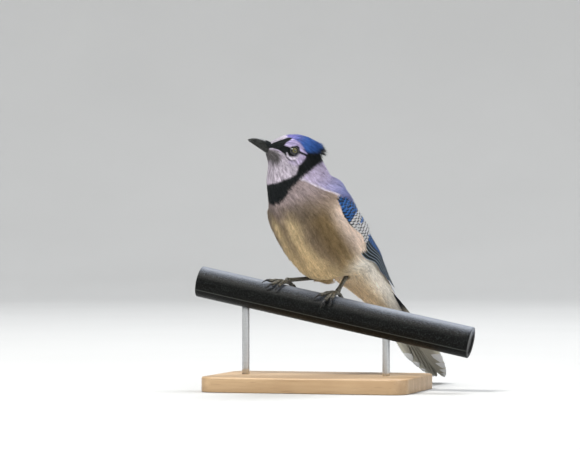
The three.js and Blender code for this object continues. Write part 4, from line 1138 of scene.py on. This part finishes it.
TAIL_ROOT, TAIL_DROOP, TAIL_FROM = (-61.7, 24.9), math.radians(43.4), 10.0
TAIL_LENGTH, TAIL_SHORTER, TAIL_WIDTH, TAIL_CURVE = 128.0, 0.85, 12.5, -2.5
TAIL_ROOT_ASIDE, TAIL_TIP_ASIDE = (3.4, 1.0), (3.6, 2.5)  # for the middle pair, and more for each next pair
TAIL_TOP, TAIL_LAYERS, TAIL_TILT = 1.9, (0.8, 0.55), 0.1
TAIL_WHITE = [0.8, 1.6, 2.6, 4.0, 6.5, 10.0]  # the white tips' lengths, from the middle pair outwards
TAIL_MIDDLE_BLUE, TAIL_BLUE = 1.3, 0.1


def tail_point(out, aside, high):
    """A place by the distances along the tail and to the bird's left, and the height over its plane."""
    f = TAIL_ROOT[0] - out * math.cos(TAIL_DROOP) - high * math.sin(TAIL_DROOP)
    u = TAIL_ROOT[1] - out * math.sin(TAIL_DROOP) + high * math.cos(TAIL_DROOP)
    return place(f, aside, u)


def lay_tail_feather(vanes, pair, side):
    reach = TAIL_LENGTH - TAIL_SHORTER * pair**2
    root = side * (TAIL_ROOT_ASIDE[0] + TAIL_ROOT_ASIDE[1] * pair)
    tip = side * (TAIL_TIP_ASIDE[0] + TAIL_TIP_ASIDE[1] * pair)
    middle_layer, layer = TAIL_LAYERS
    if pair > 0:
        level = TAIL_TOP - 2 * middle_layer - layer * (pair - 1)
    else:
        level = TAIL_TOP - (middle_layer if side < 0 else 0.0)

    def at(k, across, high):
        out = mix(TAIL_FROM, reach, k)
        raised = TAIL_TILT * across if pair > 0 else 0.0
        aside = mix(root, tip, k) + side * across
        return tail_point(out, aside, level + high + raised + TAIL_CURVE * (out / TAIL_LENGTH) ** 2)

    scheme = (1.0, TAIL_WHITE[pair], TAIL_BLUE if pair > 0 else TAIL_MIDDLE_BLUE)
    vanes.add(at, reach - TAIL_FROM, TAIL_WIDTH, FLIGHT_OUTLINE, scheme, 48, 10, flip=side < 0)


def add_tail():
    vanes = Vanes(4)
    for pair in range(len(TAIL_WHITE)):
        for side in (1, -1):
            lay_tail_feather(vanes, pair, side)
    vanes.finish("tail_plumes", tail_vane, "tail_feather", "tail")


# Bill, eyes and lids

BILL_ROOT, BILL_TIP, BILL_BASE_F = (44.0, 121.9), (66.0, 130.1), 48.8
BILL_HALF, BILL_BULGE, BILL_GAP, BILL_THIN, BILL_EASE = 4.6, 0.7, 0.22, 0.12, 1.4
BILL_SIDES, BILL_GRID = (1.15, 0.85), (44, 33)
# Each half of the bill: side, depth, taper, the ridge's power and how short of the tip it ends
UPPER_BILL = (1, 4.9, (2.1, 0.8), 0.82, 0.0)
LOWER_BILL = (-1, 5.2, (1.25, 0.9), 1.0, 0.8)
BRISTLES, BRISTLE_ANGLES, BRISTLE_ROOTS, BRISTLE_LENGTHS = 230, (22, 88), (45.4, 48.6), (3.6, 6.4)
BRISTLE_LENGTH_BY_ANGLE = ([20, 50, 90], [0.6, 1.0, 0.8])
BRISTLE_WIDTH, BRISTLE_SUNK, BRISTLE_RISES, BRISTLE_SHADE = 1.1, -0.2, (0.3, 0.75), 1.6
EYE_POLE, EYE_GRID = 0.02, (40, 56)
LID_POINTS, LID_RADIUS, LID_LONG, LID_OVERLAP, LID_SUNK = (64, 14), 0.42, 0.05, 0.02, 0.05
LID_WRINKLES = [(0.04, 13), (0.03, 29)]  # height, and count round the eye


def bill_point(half_bill, f, angle, lift=0.0):
    """Points over one half of the bill. The angle goes round that half from the bird's left to its right."""
    side, depth, taper, ridge, _ = half_bill
    share = np.clip((f - BILL_ROOT[0]) / (BILL_TIP[0] - BILL_ROOT[0]), 0, 1)
    past = np.clip((f - BILL_BASE_F) / (BILL_TIP[0] - BILL_BASE_F), 0, 1)
    meet = mix(BILL_ROOT[1], BILL_TIP[1], share) + BILL_BULGE * np.sin(math.pi * share)
    deep = lift + np.maximum(BILL_THIN, depth * (1 - past ** taper[0]) ** taper[1])
    half = lift + np.maximum(BILL_THIN, BILL_HALF * (1 - past ** BILL_SIDES[0]) ** BILL_SIDES[1])
    high = meet + side * (BILL_GAP / 2 + deep * np.sin(np.radians(angle)) ** ridge)
    return place(f, half * np.cos(np.radians(angle)), high, 1.0)


def add_bill():
    for half_bill, name in ((UPPER_BILL, "upper"), (LOWER_BILL, "lower")):
        side, *_, short = half_bill
        k = 1 - (1 - np.linspace(0, 1, BILL_GRID[0])) ** BILL_EASE
        f = mix(BILL_ROOT[0], BILL_TIP[0] - short, k)[:, None]
        rings = bill_point(half_bill, f, np.linspace(0, 180, BILL_GRID[1])[None, :])
        points, faces = rings_mesh(rings[:, ::side])
        add_piece(f"beak_{name}", points, faces, bill_horn, "bill_horn", [f"bill_{name}"])


def bill_sheet(f, angle, lift):
    """The upper half of the bill as a sheet for feathers to lie on, with the angle from its ridge."""
    return bill_point(UPPER_BILL, f, 90 - angle, lift)


def add_bristles():
    """The bristly feathers that lie ahead over the nostrils."""
    side = rng.choice([-1.0, 1.0], BRISTLES)
    angle = side * rng.uniform(*BRISTLE_ANGLES, BRISTLES)
    f = rng.uniform(*BRISTLE_ROOTS, BRISTLES)
    length = rng.uniform(*BRISTLE_LENGTHS, BRISTLES) * np.interp(np.abs(angle), *BRISTLE_LENGTH_BY_ANGLE)
    width, low = np.full(BRISTLES, BRISTLE_WIDTH), np.full(BRISTLES, BRISTLE_SUNK)
    shape = (length, width, low, rng.uniform(*BRISTLE_RISES, BRISTLES))
    dark = one_paint(BLACK * BRISTLE_SHADE)
    fan = fans(f, angle, shape, 5, bend=0.8, yaw=0.12, lift=flat, sheet=bill_sheet, paint=dark)
    add_coat("nasal_bristles", "head_feather", fan)


def eye_frame(side):
    """An eye's middle, and the directions out of the head, back along it and up."""
    angle = np.array(side * EYE_ANGLE)
    middle = chart(np.array(EYE_STATION), angle, -EYE_SUNK)
    out = unit(chart(np.array(EYE_STATION), angle, 1.0) - middle)
    back = unit(chart(np.array(EYE_STATION + 0.05), angle) - middle - out)
    back = unit(back - out * (back @ out))
    return middle, out, back, np.cross(out, back)


def add_eyeball(name, middle, out, back, up):
    rows, columns = EYE_GRID
    polar = np.linspace(EYE_POLE, math.pi - EYE_POLE, rows)[:, None, None]
    turn = round_turn(columns)[None, :, None]
    around = np.cos(turn) * back + np.sin(turn) * up
    points, faces = rings_mesh(middle + EYE_RADIUS * (np.cos(polar) * out + np.sin(polar) * around))
    ahead = (points - middle) @ out
    from_axis = np.linalg.norm(points - middle - np.outer(ahead, out), axis=-1)
    iris = np.where(ahead > 0, from_axis / EYE_SHOWS, 1.0)
    attributes = {"iris": np.stack([iris, 0 * iris, 0 * iris], axis=-1)}
    add_piece(f"eyeball_{name}", points, faces, eye_wet, "eye", [f"eye_{name}"], attributes)


def add_lids(name, middle, out, back, up):
    """A rim of bare dark skin round the eye, a little longer than it is high."""
    rows, columns = LID_POINTS
    turn, section = round_turn(rows)[:, None], round_turn(columns)[None, :]
    opening = EYE_SHOWS * (1 + LID_LONG * np.cos(2 * turn)) - LID_OVERLAP
    reach = opening + LID_RADIUS + LID_RADIUS * np.cos(section)
    wrinkles = sum(high * np.sin(turn * count) for high, count in LID_WRINKLES)
    level = math.sqrt(EYE_RADIUS**2 - EYE_SHOWS**2) - LID_SUNK
    high = level + LID_RADIUS * np.sin(section) + wrinkles
    spread = reach[..., None] * (np.cos(turn)[..., None] * back + np.sin(turn)[..., None] * up)
    rings = middle + spread + high[..., None] * out
    faces = grid_faces(rows + 1, columns, closed=True) % (rows * columns)
    add_piece(f"lids_{name}", rings.reshape(-1, 3), [faces], lid_skin, "head_feather")


def add_eyes():
    for side, name in ((1, "left"), (-1, "right")):
        add_eyeball(name, *eye_frame(side))
        add_lids(name, *eye_frame(side))


# Legs, feet and claws

PERCH_RADIUS, PERCH_FALL, PERCH_ENDS, FEET_X = 12.5, math.radians(12), (-84.0, 144.0), -16.2
PERCH_AHEAD = np.array([math.cos(PERCH_FALL), 0.0, -math.sin(PERCH_FALL)])
PERCH_TOP = np.array([math.sin(PERCH_FALL), 0.0, math.cos(PERCH_FALL)])
PERCH_FRONT = np.array([0.0, -1.0, 0.0])
TARSUS_RADIUS, TARSUS_ENDS, SHIN_OVERLAP, SHIN_FRONT = 1.6, 0.24, 0.12, np.array([0.3, -1.0, 0.4])
TOE_RADIUS, TOE_TAPER, TOE_PADS, TOE_ARCH, GAP = 1.45, (1.14, 0.92), 0.09, 0.75, 0.3
CLAW_SHARE, CLAW_OVERLAP = 0.33, 0.05
TOE_DROP, CLAW_HOOK, CLAW_HOOK_FROM, CLAW_POINT_FROM, CLAW_POINT_DROP = 1.4, 1.3, 0.66, 0.9, 9
PALM_REACH, PALM_RADIUS, PALM_END = 2.3, 2.0, 0.2
CLAW_RADIUS, CLAW_TIP, CLAW_TAPER, CLAW_NARROW = 1.15, 0.05, 0.7, 0.12
PLATE_HIGH, PLATE_LOW, TARSUS_PLATES, TOE_PLATES, TOE_PLATE_SHARE = 0.10, 0.05, 9, 13, 0.8
LEGS = {  # the heel, where the bare leg ends and the cuff of feathers starts, and the cuff's radii and reach
    "left": ((-33.8, 7.5, 30.2), 0.6, (2.9, 6.0, 0.62)),
    "right": ((-16.7, -15.0, 20.4), 0.93, (3.1, 6.5, 1.1)),
}
FEET = {  # distance along the perch, angle from its top towards the bird's front, and height of the ankle
    "left": (
        (29.3, -8, 4.6),
        {"inner": (14.5, 60), "middle": (22, 84), "outer": (28.5, 68), "hind": (35, -84)},
    ),
    "right": (
        (-13.2, -6, 3.9),
        {"inner": (-31, 42), "middle": (-26, 62), "outer": (-17.5, 62), "hind": (-4, -72)},
    ),
}
TOE_SPOTS = np.array([0, 0.18, 0.4, 0.62, 0.8, 0.92, 1])
CUFF_REACH, CUFF_SUNK, CUFF_FEATHERS, CUFF_RUN, CUFF_LENGTHS = 1.6, 0.86, 420, (0.25, 0.93), (3.2, 4.8)
CUFF_SLIMNESS, CUFF_ROOT, CUFF_RISES, CUFF_SHADE = 0.42, -0.5, (0.1, 0.7), 0.9


def perch_point(s, angle, lift):
    s, angle, out = np.broadcast_arrays(s, np.radians(angle), PERCH_RADIUS + lift)
    s, angle, out = s[..., None], angle[..., None], out[..., None]
    round_it = PERCH_TOP * np.cos(angle) + PERCH_FRONT * np.sin(angle)
    return np.array([FEET_X, 0.0, PERCH_HEIGHT]) + PERCH_AHEAD * s + round_it * out


def curve_through(points, k):
    """Places at shares of the way along a smooth curve through points."""
    steps = np.concatenate([[0], np.cumsum(np.linalg.norm(np.diff(points, axis=0), axis=-1))])
    steps = steps / steps[-1]
    slopes = np.gradient(points, steps, axis=0)
    i = np.clip(np.searchsorted(steps, k, side="right") - 1, 0, len(points) - 2)
    wide = (steps[i + 1] - steps[i])[:, None]
    x = (k - steps[i])[:, None] / wide
    bend = slopes[i] * wide * (x**3 - 2 * x**2 + x) + slopes[i + 1] * wide * (x**3 - x**2)
    return mix(points[i], points[i + 1], smooth(x)) + bend


def tube(path, radius, sides, side_axis):
    """A closed tube along points. radius gives its size for the share along it and the cosine to its top."""
    ahead = unit(np.gradient(path, axis=0))
    across = unit(np.cross(side_axis, ahead))
    over_it = np.cross(ahead, across)
    turn = round_turn(sides)[None, :]
    k = np.linspace(0, 1, len(path))[:, None]
    size = np.broadcast_to(radius(k, np.sin(turn)), (len(path), sides))[..., None]
    ring = across[:, None] * np.cos(turn)[..., None] + over_it[:, None] * np.sin(turn)[..., None]
    return rings_mesh(path[:, None] + ring * size)


def plates(k, count, upward):
    """Overlapping plates on the upper side of a leg or toe."""
    saw = (k * count) % 1.0
    scales = PLATE_HIGH * (1 - saw) * smooth(upward * 1.6)
    return scales - PLATE_LOW * smooth(-upward) * np.cos(k * count * 9.0)


def tarsus_radius(k, upward):
    return TARSUS_RADIUS * (1 + TARSUS_ENDS * (2 * k - 1) ** 4) + plates(k, TARSUS_PLATES, upward)


def palm_radius(k, upward):
    return PALM_END + PALM_RADIUS * np.sqrt(np.clip(1 - (2 * k - 1) ** 2, 0, 1))


def toe_radius(k, upward):
    pads = 1 + TOE_PADS * np.cos(6 * math.pi * k)
    return TOE_RADIUS * mix(*TOE_TAPER, k) * pads + plates(k, TOE_PLATES, upward) * TOE_PLATE_SHARE


def claw_radius(k, upward):
    return CLAW_TIP + CLAW_RADIUS * (1 - k) ** CLAW_TAPER * (1 - CLAW_NARROW * np.abs(upward))


def rod_radius(k, upward):
    return ROD_RADIUS


def toe_path(ankle, tip):
    """The line of a toe and its claw: down from the ankle, along the perch and hooked at its end."""
    k = TOE_SPOTS
    (ankle_s, ankle_angle, ankle_lift), (tip_s, tip_angle) = ankle, tip
    resting = TOE_RADIUS + GAP + TOE_ARCH * np.sin(math.pi * np.clip(k * 1.05, 0, 1))
    lift = mix(ankle_lift - TOE_DROP, resting, smooth(k * 3.2))
    hook = CLAW_HOOK * np.sin(math.pi * np.clip((k - CLAW_HOOK_FROM) / (1 - CLAW_HOOK_FROM), 0, 1))
    hook = hook - np.maximum(k - CLAW_POINT_FROM, 0) * CLAW_POINT_DROP
    return perch_point(mix(ankle_s, tip_s, k), mix(ankle_angle, tip_angle, k), lift + hook)


def add_leg(side):
    heel, bare_to, _ = LEGS[side]
    (ankle_s, ankle_angle, ankle_lift), tips = FEET[side]
    ankle, heel = perch_point(ankle_s, ankle_angle, ankle_lift), place(*heel)
    k = np.linspace(0, 1, 70)[:, None]
    shin = ankle + (heel - ankle) * k * min(bare_to + SHIN_OVERLAP, 1.0)
    along_x = np.array([1.0, 0.0, 0.0])
    palm = perch_point(ankle_s, ankle_angle, ankle_lift + np.linspace(-PALM_REACH, PALM_REACH, 12))
    legs = [
        tube(shin, tarsus_radius, 20, np.cross(SHIN_FRONT, heel - ankle)),
        tube(palm, palm_radius, 18, along_x),
    ]
    claws = []
    for tip in tips.values():
        path = toe_path(FEET[side][0], tip)
        toe = curve_through(path, np.linspace(0, 1 - CLAW_SHARE, 60))
        claw = curve_through(path, np.linspace(1 - CLAW_SHARE - CLAW_OVERLAP, 1, 30))
        legs.append(tube(toe, toe_radius, 16, along_x))
        claws.append(tube(claw, claw_radius, 14, along_x))
    add_piece(f"leg_{side}", *joined(legs), leg_skin, "leg_skin", [f"foot_{side}", f"tarsus_{side}"])
    nodes = [f"claw_{side}_{toe}" for toe in tips]
    add_piece(f"claws_{side}", *joined(claws), claw_horn, "claw_horn", nodes)


def add_thigh(side):
    """The cuff of feathers round the top of the bare leg."""
    heel, bare_to, (radius, flare, sunk) = LEGS[side]
    ankle, heel = perch_point(*FEET[side][0]), place(*heel)
    top = ankle + (heel - ankle) * sunk * CUFF_REACH
    foot = ankle + (heel - ankle) * bare_to
    length = np.linalg.norm(foot - top)
    down = unit(foot - top)
    aside = unit(np.cross(down, (0.0, 0.0, 1.0)))
    over_it = np.cross(down, aside)

    def cuff(run, angle, lift):
        run, angle, lift = np.broadcast_arrays(run, np.radians(angle), lift)
        out = mix(flare, radius, smooth(2 * run / length - 1)) * CUFF_SUNK + lift
        round_it = aside * np.cos(angle)[..., None] + over_it * np.sin(angle)[..., None]
        return top + down * run[..., None] + round_it * out[..., None]

    run = rng.uniform(*CUFF_RUN, CUFF_FEATHERS) * length
    angle = rng.uniform(-180, 180, CUFF_FEATHERS)
    long = rng.uniform(*CUFF_LENGTHS, CUFF_FEATHERS)
    low, high = np.full(CUFF_FEATHERS, CUFF_ROOT), rng.uniform(*CUFF_RISES, CUFF_FEATHERS)
    shape = (long, long * CUFF_SLIMNESS, low, high)
    paint = one_paint(BELLY * CUFF_SHADE)
    fan = fans(run, angle, shape, 7, bend=0.8, yaw=0.15, lift=flat, sheet=cuff, paint=paint)
    add_coat(f"thigh_plumage_{side}", "body_feather", fan)


# Perch and stand. PERCH_END holds distances inwards from a cut end and outwards from the jacket. BASE_BOTTOM
# and BASE_TOP hold distances inwards from the base's edge, and heights over its bottom and over its top.

SEAM_ANGLE, SEAM_HALF, SEAM_HIGH = 121.0, 1.6, 0.22  # from the perch's top towards the front
SHEEN_REACH = 75.0  # degrees from the top where the painted sheen ends
DENTS, DENT_RUN = 0.05, 17.0
PERCH_END = [(0.8, -3.2), (0.35, -3.2), (0.3, -2.9), (0.0, -0.6), (0.15, -0.15), (0.6, 0.0)]
PERCH_PLAIN = 4  # from each end to the plain length
BASE_LENGTH, BASE_DEPTH, BASE_HEIGHT, BASE_CORNER = 168.0, 112.0, 12.0, 14.0
BASE_BOTTOM = [(2.4, 0.0), (0.5, 0.0), (0.12, 0.15), (0.0, 0.6)]
BASE_TOP = [(0.0, -1.7), (0.12, -1.0), (0.45, -0.4), (1.0, -0.08), (1.7, 0.0), (6.0, 0.0)]
ROD_RADIUS, ROD_X, ROD_SUNK, ROD_REACH = 3.0, (-60.0, 56.0), 0.5, 0.75


def add_perch():
    """A cut length of cable: its jacket, a raised seam along it, and a core that shows at both ends."""
    first, last = PERCH_ENDS
    angle = np.concatenate([np.arange(0, 360, 3.0), SEAM_ANGLE + SEAM_HALF * np.linspace(-2, 2, 9)])
    angle = np.sort(angle)
    seam = np.exp(-(((angle - SEAM_ANGLE) / SEAM_HALF) ** 2))
    profile = [(first + inward, out) for inward, out in PERCH_END]
    profile += [(s, 0.0) for s in np.linspace(first + PERCH_PLAIN, last - PERCH_PLAIN, 60)]
    profile += [(last - inward, out) for inward, out in reversed(PERCH_END)]
    s, out = np.array(profile).T[:, :, None]
    dents = DENTS * np.sin(s / DENT_RUN + np.radians(angle) * 2) - DENTS
    points, faces = rings_mesh(perch_point(s, angle[None, :], out + dents + SEAM_HIGH * seam[None, :]))
    # the share of painted sheen, which is highest on the cable's top
    top = np.clip(1 - aside_of(angle) / SHEEN_REACH, 0, 1)
    wear = np.stack([seam, top, 0 * top], axis=-1)
    wear = np.concatenate([np.broadcast_to(wear, (len(s),) + wear.shape).reshape(-1, 3), np.zeros((2, 3))])
    add_piece("cable", points, faces, cable_jacket, "cable_jacket", ["perch"], {"wear": wear})


def add_base():
    quarter = np.linspace(0, math.pi / 2, 13)
    turn = np.concatenate([quarter + n * math.pi / 2 for n in range(4)])
    corner = np.stack([np.cos(turn), np.sin(turn)], axis=-1)
    signs = np.repeat([(1, 1), (-1, 1), (-1, -1), (1, -1)], len(quarter), axis=0)
    middles = signs * (BASE_LENGTH / 2 - BASE_CORNER, BASE_DEPTH / 2 - BASE_CORNER)
    rings = []
    for inset, z in BASE_BOTTOM + [(inset, BASE_HEIGHT + drop) for inset, drop in BASE_TOP]:
        ring = middles + (BASE_CORNER - inset) * corner
        rings.append(np.concatenate([ring, np.full((len(ring), 1), z)], axis=-1))
    points, faces = rings_mesh(np.array(rings))
    add_piece("base_board", points, faces, stand_wood, "stand_wood", ["stand_base"])


def add_rods():
    for x, name in zip(ROD_X, ("left", "right")):
        top = PERCH_HEIGHT - math.tan(PERCH_FALL) * (x - FEET_X) - PERCH_RADIUS * ROD_REACH
        bottom = BASE_HEIGHT - ROD_SUNK
        path = np.array([(x, 0.0, z) for z in np.linspace(bottom, top, 12)])
        points, faces = tube(path, rod_radius, 48, np.array([1.0, 0.0, 0.0]))
        add_piece(f"rod_{name}", points, faces, stand_steel, "stand_steel", [f"stand_rod_{name}"])


add_skin()
add_plumage()
add_scapulars()
add_crest()
add_wing(1, "left")
add_wing(-1, "right")
add_tail()
add_bill()
add_bristles()
add_eyes()
for leg in LEGS:
    add_leg(leg)
    add_thigh(leg)
add_perch()
add_base()
add_rods()
